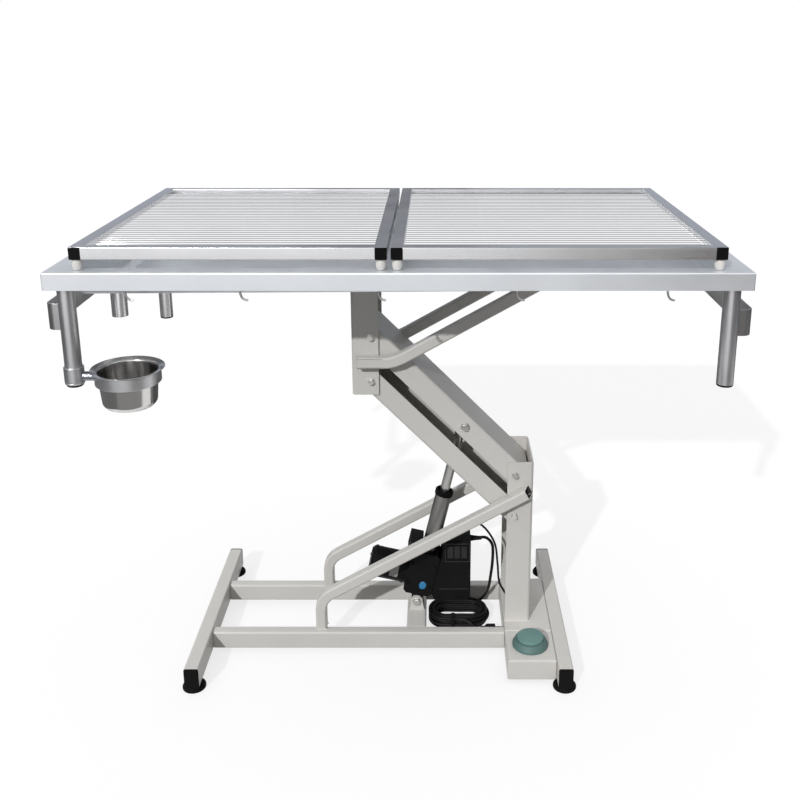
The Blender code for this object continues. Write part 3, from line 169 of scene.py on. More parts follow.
def settle(piece):
    """Turn a piece's modifiers into a plain mesh."""
    shaped = piece.evaluated_get(bpy.context.evaluated_depsgraph_get())
    mesh = bpy.data.meshes.new_from_object(shaped)
    piece.modifiers.clear()
    piece.data = mesh


def as_piece(name, shell, surfaces, sharp):
    """A finished bmesh as an object with its materials."""
    mesh = bpy.data.meshes.new(name)
    shell.to_mesh(mesh)
    shell.free()
    for surface in surfaces:
        mesh.materials.append(surface)
    smooth(mesh, sharp)
    return placed(name, mesh)


def show(name, shell, surfaces, body, nodes=(), sharp=35):
    """A finished bmesh as a piece that rides on a body and stands for CAD nodes."""
    piece = as_piece(name, shell, surfaces, sharp)
    piece.modifiers.new("flat_faces_lead", "WEIGHTED_NORMAL").keep_sharp = True
    settle(piece)
    if nodes:
        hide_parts(*nodes)
    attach(piece, body)
    return piece


def skin(shell, rows, closed=False, capped=False):
    """Vertices and faces over rows of points that each run round; a row on one spot is a pole."""
    rings = []
    for row in rows:
        pole = row[0] == row[1]
        rings.append([shell.verts.new(row[0])] * len(row) if pole else [shell.verts.new(p) for p in row])
    made = []
    for lower, upper in zip(rings, rings[1:] + rings[:1] if closed else rings[1:]):
        for i in range(len(lower)):
            corner = (lower[i - 1], lower[i], upper[i], upper[i - 1])
            made.append(shell.faces.new(list(dict.fromkeys(corner))))
    if capped:
        made += [shell.faces.new(rings[0]), shell.faces.new(rings[-1])]
    bmesh.ops.recalc_face_normals(shell, faces=made)
    return rings, made


def lathe(profile, sides=64, shell=None, place=None, surface=0):
    """A closed body turned about Z from (radius, height) points, capped where the radius is nought."""
    shell = shell or bmesh.new()
    place = place or Matrix.Identity(4)
    turns = [2 * pi * i / sides for i in range(sides)]
    rows = [[place @ Vector((r * cos(a), r * sin(a), z)) for a in turns] for r, z in profile]
    closed = profile[0][0] > 0 and profile[-1][0] > 0
    for face in skin(shell, rows, closed)[1]:
        face.material_index = surface
    return shell


def eased(profile, radius, steps=4):
    """A profile with each inner corner turned into a small arc."""
    points = [Vector(profile[0])]
    for before, corner, after in zip(profile, profile[1:], profile[2:]):
        here = Vector(corner)
        back = Vector(before) - here
        ahead = Vector(after) - here
        cut = min(radius, back.length * 0.45, ahead.length * 0.45)
        first = here + back.normalized() * cut
        last = here + ahead.normalized() * cut
        for step in range(steps + 1):
            t = step / steps
            points.append((1 - t) ** 2 * first + 2 * t * (1 - t) * here + t * t * last)
    points.append(Vector(profile[-1]))
    return [(p.x, p.y) for p in points]


def corners(node):
    """The lowest and highest corner of a node's box."""
    return [Vector(corner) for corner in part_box(node)]


def standing(node):
    """The middle of a node's underside as a place, and the node's size."""
    low, high = corners(node)
    centre = (low + high) / 2
    return Matrix.Translation((centre.x, centre.y, low.z)), high - low


FOOT_CHAMFER = 0.0015
black_rubber = moulded(
    "black_rubber", (0.0035, 0.0035, 0.0035), (0.008, 0.0078, 0.0075), (0.55, 0.75), 700, 0.0004, gloss=0.06
)
BEAM_ENDS = ("left_front", "left_rear", "right_front", "right_rear")
for end in BEAM_ENDS:
    stand, size = standing(f"foot_{end}")
    edge, top = size.x / 2, size.z
    profile = [(0, 0), (edge * 0.9, 0), (edge, FOOT_CHAMFER), (edge, top * 0.55), (edge * 0.93, top * 0.68),
               (edge * 0.85, top), (0, top)]
    disc = lathe(eased(profile, 0.0012), place=stand)
    show(f"foot_{end}_rubber", disc, [black_rubber], "base", [f"foot_{end}"])


# Foot beams, rails and floor boxes
# Oblong steel tube and folded sheet, welded into one floor frame and powder coated off-white.
# The coat is satin with a slight orange peel, and it rounds every folded or sawn edge.
bodies = frame["record"]["behaviour"]["bodies"]
body_of_node = {node: name for name, nodes in bodies.items() for node in nodes}
MERGE_WITHIN = 1e-6
FLAT_WITHIN = radians(0.6)
CORNER_OVER = radians(32)


def softened(node, width, surface, steps=2, sharp=50, name=None, moved=None):
    """A merged copy of a CAD node with its edges rounded, and its points moved first if asked."""
    shell = bmesh.new()
    shell.from_mesh(frame["nodes"][node].data)
    bmesh.ops.remove_doubles(shell, verts=shell.verts, dist=MERGE_WITHIN)
    bmesh.ops.dissolve_limit(shell, angle_limit=FLAT_WITHIN, verts=shell.verts, edges=shell.edges)
    for vertex in shell.verts if moved else ():
        vertex.co = moved(vertex.co)
    edges = [e for e in shell.edges if len(e.link_faces) == 2 and e.calc_face_angle(0) > CORNER_OVER]
    bmesh.ops.bevel(
        shell, geom=edges, offset=width, segments=steps, profile=0.5, affect="EDGES", clamp_overlap=True
    )
    for face in shell.faces:
        face.material_index = 0
    return show(name or f"{node}_finished", shell, [surface], body_of_node[node], [node], sharp)


off_white = moulded(
    "off_white_powder_coat", (0.567, 0.553, 0.525), (0.607, 0.592, 0.565), (0.32, 0.48), 420, 0.00025, 5.0,
    0.12, 0.4,
)
for node in ("beam_left", "beam_right", "rail_front", "rail_rear", "column_base", "switch_box",
             "actuator_mount"):
    softened(node, 0.0008, off_white)


# Beam end caps
# Soft black plastic plugs pushed into the beams' open ends.
# Their faces stand a few millimetres proud, with rounded edges.
for end in BEAM_ENDS:
    softened(f"beam_cap_{end}", 0.0016, black_rubber, 3)


# Columns, arms and braces
# Folded steel channels for the columns and arms, and bent square tube for the braces.
# They are coated like the floor frame, but the coat hardly reaches a brace's inside, which is near black:
# bare steel with painted shade.
BRACE_ACROSS = 0.025
OFF_THE_FACE = 1e-5


def paint_shade_inside(piece, surface):
    """Another finish on a brace's inner walls, near-black painted shade on bare steel: the faces that look
    inwards or at a wall close by.
    """
    piece.data.materials.append(surface)
    middle_y = sum(vertex.co.y for vertex in piece.data.vertices) / len(piece.data.vertices)
    shell = bmesh.new()
    shell.from_mesh(piece.data)
    walls = BVHTree.FromBMesh(shell)
    shell.free()
    for face in piece.data.polygons:
        looks_in = face.normal.y * copysign(1, face.center.y - middle_y) < -0.9
        start = face.center + face.normal * OFF_THE_FACE
        if looks_in or walls.ray_cast(start, face.normal, BRACE_ACROSS)[0]:
            face.material_index = 1


# Bare steel made near black: painted shade for the dark inside of the braces' tubes.
mill_scale = moulded(
    "mill_scale", (0.020, 0.019, 0.018), (0.034, 0.031, 0.028), (0.6, 0.8), 500, 0.0003, 40.0
)
for node in ("lower_column", "upper_column", "upper_arm", "lower_arm", "underframe"):
    softened(node, 0.0007, off_white)
for node in ("lower_brace_front", "lower_brace_rear", "upper_brace_front", "upper_brace_rear"):
    paint_shade_inside(softened(node, 0.0009, off_white, 2, 60), mill_scale)


# Weld beads
# Where tube and channel meet a flat face, a short run of weld shows under the paint.
# Each run is a row of overlapping scales a few millimetres wide.
WELD_RADIUS = 0.0017
WELD_PITCH = WELD_RADIUS * 0.9
GROWN_SHARP = 40


def tree_of(name, inputs):
    """An empty geometry tree with its named inputs and a material, ready for its nodes."""
    tree = bpy.data.node_groups.new(name, "GeometryNodeTree")
    kinds = {int: "NodeSocketInt", float: "NodeSocketFloat", tuple: "NodeSocketVector"}
    tree.interface.new_socket("Points", in_out="INPUT", socket_type="NodeSocketGeometry")
    for label, value in inputs.items():
        socket = tree.interface.new_socket(label, in_out="INPUT", socket_type=kinds[type(value)])
        socket.default_value = value
    tree.interface.new_socket("Material", in_out="INPUT", socket_type="NodeSocketMaterial")
    tree.interface.new_socket("Geometry", in_out="OUTPUT", socket_type="NodeSocketGeometry")
    return tree, tree.nodes.new("NodeGroupInput"), tree.nodes.new("NodeGroupOutput")


def scatter(tree, given, result, points, shape):
    """End a tree with a shape on each point, made real and in its material."""
    put = tree.nodes.new("GeometryNodeInstanceOnPoints")
    real = tree.nodes.new("GeometryNodeRealizeInstances")
    paint = tree.nodes.new("GeometryNodeSetMaterial")
    tree.links.new(points, put.inputs["Points"])
    tree.links.new(shape, put.inputs["Instance"])
    join(
        tree, (put, "Instances", real, "Geometry"), (real, "Geometry", paint, "Geometry"),
        (given, "Material", paint, "Material"), (paint, "Geometry", result, "Geometry"),
    )
    return put


def grown(name, tree, values, body, points=()):
    """Run a geometry tree with its inputs set, from points if given, and keep a plain mesh piece."""
    start = bpy.data.meshes.new(name)
    start.from_pydata(points, [], [])
    piece = placed(name, start)
    modifier = piece.modifiers.new("grow", "NODES")
    modifier.node_group = tree
    for item in tree.interface.items_tree:
        if item.in_out == "INPUT" and item.name in values:
            modifier[item.identifier] = values[item.name]
    settle(piece)
    smooth(piece.data, GROWN_SHARP)
    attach(piece, body)
    return piece


def row_tree(name, kind, detail, sizes):
    """Equal shapes in a row, evenly spaced from a first one, with named sizes for the shape's sockets."""
    nought = (0.0, 0.0, 0.0)
    inputs = {"Count": 2, "First": nought, "Pitch": nought, "Turn": nought}
    tree, given, result = tree_of(name, inputs | dict.fromkeys(sizes, 0.005))
    row = add_node(tree, "GeometryNodeMeshLine", mode="OFFSET", count_mode="TOTAL")
    shape = add_node(tree, kind, detail)
    turn = tree.nodes.new("FunctionNodeEulerToRotation")
    put = scatter(tree, given, result, row.outputs["Mesh"], shape.outputs["Mesh"])
    join(
        tree, (given, "Count", row, "Count"), (given, "First", row, "Start Location"),
        (given, "Pitch", row, "Offset"), (given, "Turn", turn, "Euler"), (turn, "Rotation", put, "Rotation"),
        *((given, label, shape, socket) for label, socket in sizes.items()),
    )
    return tree


weld_run = row_tree("weld_run", "GeometryNodeMeshIcoSphere", {"Subdivisions": 2}, {"Radius": "Radius"})


def foot_welds(name, low, high, length):
    """A run of weld along the front and the rear of an upright's foot."""
    count = max(3, round(length / WELD_PITCH))
    for side, y in (("front", low.y), ("rear", high.y)):
        values = {
            "Count": count, "First": (low.x, y, low.z), "Pitch": (length / (count - 1), 0, 0),
            "Radius": WELD_RADIUS, "Material": off_white,
        }
        grown(f"{name}_foot_weld_{side}", weld_run, values, "base")


for node in ("lower_brace_front", "lower_brace_rear"):
    low, high = corners(node)
    foot_welds(node, low, high, high.y - low.y)
low, high = corners("lower_column")
foot_welds("column", low, high, high.x - low.x)


# Pivot bolts
# Zinc-plated hexagon bolts with plain washers through the columns, arms and actuator ends.
# The plating is slightly uneven in colour and the hexagons' edges are eased.
STREAK_SHARE = 0.65


def brushed_group():
    """Long streaks from a stretched noise, and soft smudges."""
    inputs = {"Vector": (0.0, 0.0, 0.0), "Stretch": (20.0, 900.0, 900.0), "Smudge Scale": 7.0}
    group, given, result = node_group("brushed", inputs, ("Streak", "Smudge"))
    stretch = add_node(group, "ShaderNodeVectorMath", operation="MULTIPLY")
    streak = add_node(group, "ShaderNodeTexNoise", {"Scale": 1.0, "Detail": 3.0})
    smudge = add_node(group, "ShaderNodeTexNoise", {"Detail": 3.0})
    join(
        group, (given, "Vector", stretch, 0), (given, "Stretch", stretch, 1),
        (stretch, "Vector", streak, "Vector"), (given, "Vector", smudge, "Vector"),
        (given, "Smudge Scale", smudge, "Scale"), (streak, "Fac", result, "Streak"),
        (smudge, "Fac", result, "Smudge"),
    )
    return group


brushed = brushed_group()


def worked_metal(name, dark, light, rough, stretch, depth=0.00002, strength=0.2, bare=1.0):
    """Metal with a direction in its finish, less than fully bare where a dull film lies on it."""
    made, tree, shader, pattern = new_finish(name, brushed, {"Stretch": stretch}, {"Metallic": bare})
    streak, smudge = pattern.outputs["Streak"], pattern.outputs["Smudge"]
    both = add_node(tree, "ShaderNodeMath", {1: STREAK_SHARE}, operation="MULTIPLY_ADD")
    tree.links.new(streak, both.inputs[0])
    tree.links.new(spread(tree, smudge, 0.0, 1 - STREAK_SHARE), both.inputs[2])
    masks = (smudge, both.outputs["Value"], streak)
    dress(tree, shader, masks, (dark, light), rough, (strength, depth))
    return made


zinc = worked_metal("zinc_plate", (0.60, 0.60, 0.58), (0.72, 0.71, 0.68), (0.25, 0.45), (500, 500, 500))
for node in bodies["base"] + bodies["upper_arm"] + bodies["table"]:
    if node.startswith("bolt_"):
        softened(node, 0.0007, zinc, 2, 30)


# Foot switch
# A round green rubber-covered switch: a flared collar screwed to the floor box, and a domed cap.
# The cap is smooth on top, with a narrow groove where it enters the collar.
CAP_PLAY = 0.0005
CAP_ROUND = 0.0035
CAP_STEPS = 8
GROOVE, GROOVE_TALL, GROOVE_SUNK = 0.0016, 0.0022, 0.0006
GREEN_GRAIN = ((0.50, 0.72), 650, 0.0003, 14.0, 0.3)
green_cap = moulded("green_rubber", (0.110, 0.220, 0.205), (0.140, 0.262, 0.245), *GREEN_GRAIN)
green_collar = moulded("green_collar", (0.078, 0.150, 0.140), (0.100, 0.182, 0.170), *GREEN_GRAIN)
stand, size = standing("switch_flange")
cap_stand, cap_size = standing("switch_cap")
outer, tall = size.x / 2, size.z
cap_edge, rise = cap_size.x / 2, cap_size.z
bore = cap_edge + CAP_PLAY
profile = [(bore, 0), (outer, 0), (outer, tall * 0.3), (bore + (outer - bore) / 3, tall), (bore, tall)]
collar = lathe(eased(profile, 0.0012), 96, place=stand)
show("foot_switch_collar", collar, [green_collar], "base", ["switch_flange"])
groove_low = stand.translation.z + tall - cap_stand.translation.z - GROOVE_SUNK
groove_high = groove_low + GROOVE_TALL
shoulder = rise * 0.80
profile = [
    (0, 0), (cap_edge - 0.0005, 0), (cap_edge, 0.0005), (cap_edge, groove_low),
    (cap_edge - GROOVE, groove_low), (cap_edge - GROOVE, groove_high), (cap_edge, groove_high),
    (cap_edge, shoulder),
]
for step in range(1, CAP_STEPS + 1):
    angle = step / CAP_STEPS * pi / 2
    radius = cap_edge - CAP_ROUND * (1 - cos(angle))
    profile.append((radius, shoulder + rise * 0.14 * sin(angle)))
profile += [(cap_edge * 0.6, rise * 0.985), (cap_edge * 0.3, rise * 0.997), (0, rise)]
cap = lathe(profile, 96, place=cap_stand)
show("foot_switch_cap", cap, [green_cap], "switch_cap", ["switch_cap"])


# Actuator gearbox and motor
# A black glass-filled plastic gearbox with a motor can on its left and a lug below.
# Bands, end screws, a plain blue sealing plug and a blank pale sticker finish it.
black_plastic = moulded(
    "black_glass_filled_plastic", (0.003, 0.003, 0.0033), (0.0065, 0.0065, 0.007), (0.40, 0.60), 1100,
    0.0003, 20.0, 0.3, 0.09,
)
softened("actuator_housing", 0.0022, black_plastic, 3, 40, "gearbox")
joint_place = {j["name"]: Vector(j.get("pos_m", (0, 0, 0))) for j in frame["record"]["behaviour"]["joints"]}
foot_pin, rod_pin = joint_place["actuator_tilt"], joint_place["rod_pin"]
lean = atan2(rod_pin.x - foot_pin.x, rod_pin.z - foot_pin.z)
on_actuator = Matrix.Translation(foot_pin) @ Matrix.Rotation(lean, 4, "Y")
to_front = Matrix.Rotation(pi / 2, 4, "X")
to_left = Matrix.Rotation(-pi / 2, 4, "Y")
MOTOR_RADIUS, MOTOR_LENGTH = 0.036, 0.090
MOTOR_PLACE = (-0.040, 0, 0.072)
MOTOR_BANDS = ((0.006, 0.005, 0.0022), (0.068, 0.0015, 0.0008), (0.076, 0.006, 0.0016))
BAND_SUNK, BAND_EDGE = 0.002, 0.0004
motor_axis = on_actuator @ Matrix.Translation(MOTOR_PLACE) @ to_left
rings = bmesh.new()
for start, width, proud in MOTOR_BANDS:
    inner, outer, end = MOTOR_RADIUS - BAND_SUNK, MOTOR_RADIUS + proud, start + width
    profile = [(inner, start), (outer - BAND_EDGE, start), (outer, start + BAND_EDGE),
               (outer, end - BAND_EDGE), (outer - BAND_EDGE, end), (inner, end)]
    lathe(profile, 64, rings, motor_axis)
show("motor_bands", rings, [black_plastic], "actuator_body")


def screw_tree():
    """Pan-head screws on a ring."""
    tree, given, result = tree_of("screw_ring", {"Count": 4, "Ring": 0.02, "Head": 0.003, "Height": 0.002})
    ring = tree.nodes.new("GeometryNodeMeshCircle")
    head = add_node(tree, "GeometryNodeMeshCylinder", {"Vertices": 16})
    join(
        tree, (given, "Count", ring, "Vertices"), (given, "Ring", ring, "Radius"),
        (given, "Head", head, "Radius"), (given, "Height", head, "Depth"),
    )
    scatter(tree, given, result, ring.outputs["Mesh"], head.outputs["Mesh"])
    return tree


screw_ring = screw_tree()


def screws(name, ring, head, place):
    """Four black screws on a ring, moved to their place on the actuator."""
    values = {"Count": 4, "Ring": ring, "Head": head, "Height": 0.003, "Material": black_rubber}
    grown(name, screw_ring, values, "actuator_body").data.transform(place)


HOUSING_FRONT = -0.034
GEAR_FACE = (-0.0065, HOUSING_FRONT - 0.0006, 0.079)
SEAL_PLACE = (0.002, HOUSING_FRONT, 0.053)
SEAL_NARROW = 0.82
gearbox_face = on_actuator @ Matrix.Translation(GEAR_FACE) @ to_front @ Matrix.Rotation(pi / 4, 4, "Z")
screws("gearbox_screws", 0.0385, 0.0034, gearbox_face)
screws("motor_end_screws", 0.026, 0.003, motor_axis @ Matrix.Translation((0, 0, MOTOR_LENGTH)))
blue = moulded("blue_plastic", (0.018, 0.17, 0.36), (0.022, 0.20, 0.42), (0.35, 0.5), 600, 0.0002)
narrowed = Matrix.Diagonal((SEAL_NARROW, 1, 1, 1))
seal_place = on_actuator @ Matrix.Translation(SEAL_PLACE) @ to_front @ narrowed
profile = [(0, 0.0014), (0.0088, 0.0014), (0.0102, 0.0004), (0.0102, -0.002), (0, -0.002)]
show("sealing_plug", lathe(profile, 40, place=seal_place), [blue], "actuator_body")
pale = moulded("pale_sticker", (0.30, 0.295, 0.28), (0.36, 0.355, 0.34), (0.45, 0.6), 300, 0.0001)
STICKER_SPAN, STICKER_TURN = radians(44), radians(4)
STICKER_SECTION = ((0.022, 0.0002), (0.022, 0.0005), (0.042, 0.0005), (0.042, 0.0002))
STICKER_STEPS = 8
rows = []
for i in range(STICKER_STEPS + 1):
    angle = STICKER_TURN + STICKER_SPAN * (i / STICKER_STEPS - 0.5) - pi / 2
    turned = motor_axis @ Matrix.Rotation(angle, 4, "Z")
    rows.append([turned @ Vector((MOTOR_RADIUS + lift, 0, along)) for along, lift in STICKER_SECTION])
sticker = bmesh.new()
skin(sticker, rows, capped=True)
show("motor_sticker", sticker, [pale], "actuator_body")


# Actuator tube and rod
# A drawn aluminium outer tube with a black wiper collar, and a ground steel rod with a round eye.
# The tube is satin along its length; the rod is brighter.
def pipe(bore, radius, low, high):
    """The section of a pipe, or of a solid round bar where the bore is nought."""
    return [(bore, low), (radius, low), (radius, high), (bore, high)]


satin_aluminium = worked_metal(
    "satin_aluminium", (0.20, 0.20, 0.19), (0.28, 0.275, 0.265), (0.32, 0.5), (700, 700, 30)
)
ground_steel = worked_metal(
    "ground_steel", (0.50, 0.495, 0.48), (0.60, 0.595, 0.58), (0.24, 0.36), (700, 700, 60)
)
TUBE_RADIUS, TUBE_BORE, TUBE_LOW, TUBE_TOP = 0.019, 0.017, 0.1353, 0.292
WIPER_RADIUS, WIPER_LOW = 0.0213, 0.278
tube = lathe(eased(pipe(TUBE_BORE, TUBE_RADIUS, TUBE_LOW, WIPER_LOW), 0.0006), place=on_actuator)
groove, top = WIPER_RADIUS - 0.0008, TUBE_TOP - WIPER_LOW
wiper = [
    (TUBE_BORE, 0), (WIPER_RADIUS - 0.001, 0), (WIPER_RADIUS, 0.001), (WIPER_RADIUS, 0.006),
    (groove, 0.0065), (groove, 0.0075), (WIPER_RADIUS, 0.008), (WIPER_RADIUS, top - 0.003),
    (WIPER_RADIUS - 0.003, top), (TUBE_BORE, top),
]
lathe(wiper, 64, tube, on_actuator @ Matrix.Translation((0, 0, WIPER_LOW)), 1)
finishes = [satin_aluminium, black_plastic]
show("actuator_tube_finished", tube, finishes, "actuator_body", ["actuator_tube"])
ROD_RADIUS, ROD_TIP, ROD_SHORT = 0.011, 0.246, 0.010
EYE_RADIUS, EYE_BORE, EYE_HALF = 0.016, 0.0053, 0.016
rod_end = (rod_pin - foot_pin).length - ROD_SHORT
rod = lathe(eased(pipe(0, ROD_RADIUS, ROD_TIP, rod_end), 0.001), place=on_actuator)
eye = eased(pipe(EYE_BORE, EYE_RADIUS, -EYE_HALF, EYE_HALF), 0.0012)
lathe(eye, 48, rod, Matrix.Translation(rod_pin) @ to_front)
show("actuator_rod_finished", rod, [ground_steel], "actuator_rod", ["actuator_rod"])


# Control box
# A two-part black plastic housing clipped beside the gearbox, with a cord gland on top and one at the side.
# A raised panel with three connector covers is on its upper front, over a fine parting line.
softened("control_box", 0.0018, black_plastic, 3, 40, "control_box_finished")
# The raised panel is a lighter, glossier black than the housing.
panel_plastic = moulded(
    "dusty_black_plastic", (0.014, 0.014, 0.0145), (0.027, 0.027, 0.028), (0.45, 0.65), 1100, 0.0003, 60.0,
    0.3, 0.22,
)


def slab(shell, low, high, round_by=0.0008):
    """A small block with rounded edges, added to a shell."""
    made = bmesh.ops.create_cube(shell, size=1.0)["verts"]
    for vertex in made:
        vertex.co = Vector((low[i] + (vertex.co[i] + 0.5) * (high[i] - low[i]) for i in range(3)))
    edges = list({edge for vertex in made for edge in vertex.link_edges})
    bmesh.ops.bevel(shell, geom=edges, offset=round_by, segments=2, profile=0.5, affect="EDGES")


PANEL_LEFT, PANEL_RIGHT, PANEL_LOW, PANEL_HIGH = 0.0895, 0.1485, 0.191, 0.2395
EDGE, EDGE_PROUD, SIDE_PROUD = 0.0025, 0.0025, 0.0022
COVER_FIRST, COVER_PITCH, COVER_WIDE = 0.006, 0.0162, 0.0135
PARTING_LINE = (0.0755, 0.147, 0.118, 0.1205, 0.0009)
SUNK = 0.001
raised = [
    (PANEL_LEFT, PANEL_RIGHT, PANEL_LOW, PANEL_LOW + EDGE, EDGE_PROUD),
    (PANEL_LEFT, PANEL_RIGHT, PANEL_HIGH - EDGE, PANEL_HIGH, EDGE_PROUD),
    (PANEL_LEFT, PANEL_LEFT + EDGE, PANEL_LOW, PANEL_HIGH, SIDE_PROUD),
    (PANEL_RIGHT - EDGE, PANEL_RIGHT, PANEL_LOW, PANEL_HIGH, SIDE_PROUD),
]
for i in range(3):
    x = PANEL_LEFT + COVER_FIRST + i * COVER_PITCH
    raised.append((x, x + COVER_WIDE, PANEL_LOW + 0.010, PANEL_HIGH - 0.008, 0.0020))
    raised.append((x + 0.004, x + 0.0095, PANEL_HIGH - 0.014, PANEL_HIGH - 0.007, 0.0030))
raised.append(PARTING_LINE)
front = corners("control_box")[0].y
covers = bmesh.new()
for left, right, low, high, proud in raised:
    slab(covers, (left, front - proud, low), (right, front + SUNK, high))
show("control_box_panel", covers, [panel_plastic], "actuator_body")


# Steel tray
# One pressed sheet of brushed stainless steel: flat rim, folded apron and a basin that falls to the drain.
# The brushing runs along the table, and the drain hole is punched at the left end.
tray_low, tray_high = corners("tray")
mid_y = (tray_low.y + tray_high.y) / 2
half_x, half_y = (tray_high.x - tray_low.x) / 2, (tray_high.y - tray_low.y) / 2
SHEET, APRON, LIP, RIM = 0.002, 0.0335, 0.010, 0.040
DRAFT, SLOPE, SHALLOW = 0.004, 0.008, 0.042
FOLD, FILLET, BASIN_CORNER = 0.003, 0.006, 0.025
DRAIN_HOLE, HOLE_SIDES = 0.014, 48
tray_top = tray_high.z
tray_bottom = tray_top - APRON
drain_stand, drain_size = standing("drain_pipe")
sheet_steel = worked_metal(
    "brushed_sheet", (0.76, 0.785, 0.82), (0.81, 0.835, 0.87), (0.36, 0.48), (9, 900, 900), bare=0.62
)


def rounded_rectangle(half_u, half_v, radius, steps=8):
    """Points round a rectangle with arcs for corners."""
    points = []
    for corner, (u, v) in enumerate(((1, 1), (-1, 1), (-1, -1), (1, -1))):
        for step in range(steps + 1):
            angle = (corner + step / steps) * pi / 2
            along = u * (half_u - radius) + radius * cos(angle)
            points.append((along, v * (half_v - radius) + radius * sin(angle)))
    return points


def basin_floor(x):
    """Height of the basin's upper face."""
    return tray_top - SHALLOW - SLOPE * (0.5 - x / (2 * half_x))


def sheet_face(offset):
    """The sheet's section from the lip to the basin, as (inset, height, follows the floor, corner)."""
    turn = FOLD - offset
    arc = [step / 5 * pi / 2 for step in range(6)]
    section = [(offset, tray_bottom + offset, False, FOLD)]
    for angle in arc:
        height = tray_top - FOLD + turn * sin(angle)
        section.append((FOLD - turn * cos(angle), height, False, FOLD))
    for angle in arc:
        inset = RIM - offset - FOLD + FOLD * sin(angle)
        section.append((inset, tray_top - offset - FOLD + FOLD * cos(angle), False, BASIN_CORNER))
    for angle in arc:
        inset = RIM + DRAFT - offset + FILLET * (1 - cos(angle))
        section.append((inset, FILLET * (1 - sin(angle)) - offset, True, BASIN_CORNER))
    return section


lip = [(LIP + SHEET, tray_bottom + SHEET, False, FOLD), (LIP + SHEET, tray_bottom, False, FOLD)]
rows = []
for inset, height, on_floor, corner in sheet_face(SHEET)[::-1] + lip + sheet_face(0.0):
    outline = rounded_rectangle(half_x - inset, half_y - inset, corner)
    rows.append([(x, y + mid_y, height + (basin_floor(x) if on_floor else 0.0)) for x, y in outline])
pan = bmesh.new()
sheet = skin(pan, rows)[0]
turns = [2 * pi * i / HOLE_SIDES for i in range(HOLE_SIDES)]
hole = drain_stand.translation
edge_of_hole = [(hole.x + DRAIN_HOLE * cos(a), hole.y + DRAIN_HOLE * sin(a)) for a in turns]
rows = [[(x, y, basin_floor(x) - offset) for x, y in edge_of_hole] for offset in (SHEET, 0.0)]
wall = skin(pan, rows)[0]
for pair in ((wall[0], sheet[0]), (wall[1], sheet[-1])):
    edges = [pan.edges.get((row[i - 1], row[i])) for row in pair for i in range(len(row))]
    bmesh.ops.triangle_fill(pan, use_beauty=True, edges=edges)
bmesh.ops.recalc_face_normals(pan, faces=pan.faces)
show("tray_finished", pan, [sheet_steel], "table", ["tray"], 40)


# Tie hooks
# Short hooks of bent wire welded under the front and rear aprons, for a leash.
# Each leaves the lip straight down and turns to the right, with a bead of weld at its root.
HOOK_PLACES = (-0.77, -0.446, -0.057, 0.334, 0.757)
HOOK_DROP, HOOK_REACH, HOOK_WIRE = 0.0195, 0.014, 0.0021
BEAD_TO_WIRE = 1.5
wire_steel = worked_metal("bent_wire", (0.50, 0.50, 0.50), (0.60, 0.60, 0.60), (0.25, 0.4), (300, 300, 300))


def hook_tree():
    """A bent wire hook with its weld on each point."""
    tree, given, result = tree_of("tie_hooks", {"Drop": 0.02, "Reach": 0.014, "Wire": 0.0025})
    bend = add_node(tree, "GeometryNodeCurveQuadraticBezier", {"Resolution": 16, "Start": (0, 0, 0)})
    down = add_node(tree, "ShaderNodeMath", {1: -1.0}, operation="MULTIPLY")
    below = tree.nodes.new("ShaderNodeCombineXYZ")
    tip = tree.nodes.new("ShaderNodeCombineXYZ")
    ring = add_node(tree, "GeometryNodeCurvePrimitiveCircle", {"Resolution": 14})
    wire = add_node(tree, "GeometryNodeCurveToMesh", {"Fill Caps": True})
    bead = add_node(tree, "GeometryNodeMeshUVSphere", {"Segments": 14, "Rings": 8})
    wide = add_node(tree, "ShaderNodeMath", {1: BEAD_TO_WIRE}, operation="MULTIPLY")
    both = tree.nodes.new("GeometryNodeJoinGeometry")
    join(
        tree, (given, "Drop", down, 0), (down, "Value", below, "Z"), (down, "Value", tip, "Z"),
        (given, "Reach", tip, "X"), (below, "Vector", bend, "Middle"), (tip, "Vector", bend, "End"),
        (given, "Wire", ring, "Radius"), (given, "Wire", wide, 0), (wide, "Value", bead, "Radius"),
        (bend, "Curve", wire, "Curve"), (ring, "Curve", wire, "Profile Curve"),
        (wire, "Mesh", both, "Geometry"), (bead, "Mesh", both, "Geometry"),
    )
    scatter(tree, given, result, given.outputs["Points"], both.outputs["Geometry"])
    return tree


hook_y = half_y - (LIP + SHEET) / 2
roots = [(place * half_x, mid_y + side * hook_y, tray_bottom) for side in (-1, 1) for place in HOOK_PLACES]
values = {"Drop": HOOK_DROP, "Reach": HOOK_REACH, "Wire": HOOK_WIRE, "Material": wire_steel}
grown("tie_hooks", hook_tree(), values, "table", roots)


# Drain, posts and handles
# Round stainless tube for the drain and the corner posts, flat bar for the two end handles.
# Front posts and handles are polished and darker; the drain and rear posts are a far brighter copy of the
# tube steel, painted light where the tray shades them; black plugs close the posts.
POLISH = (0.26, 0.40)
UPRIGHT = (700, 700, 12)
tube_steel = worked_metal("polished_tube", (0.58, 0.585, 0.60), (0.68, 0.685, 0.70), POLISH, UPRIGHT)
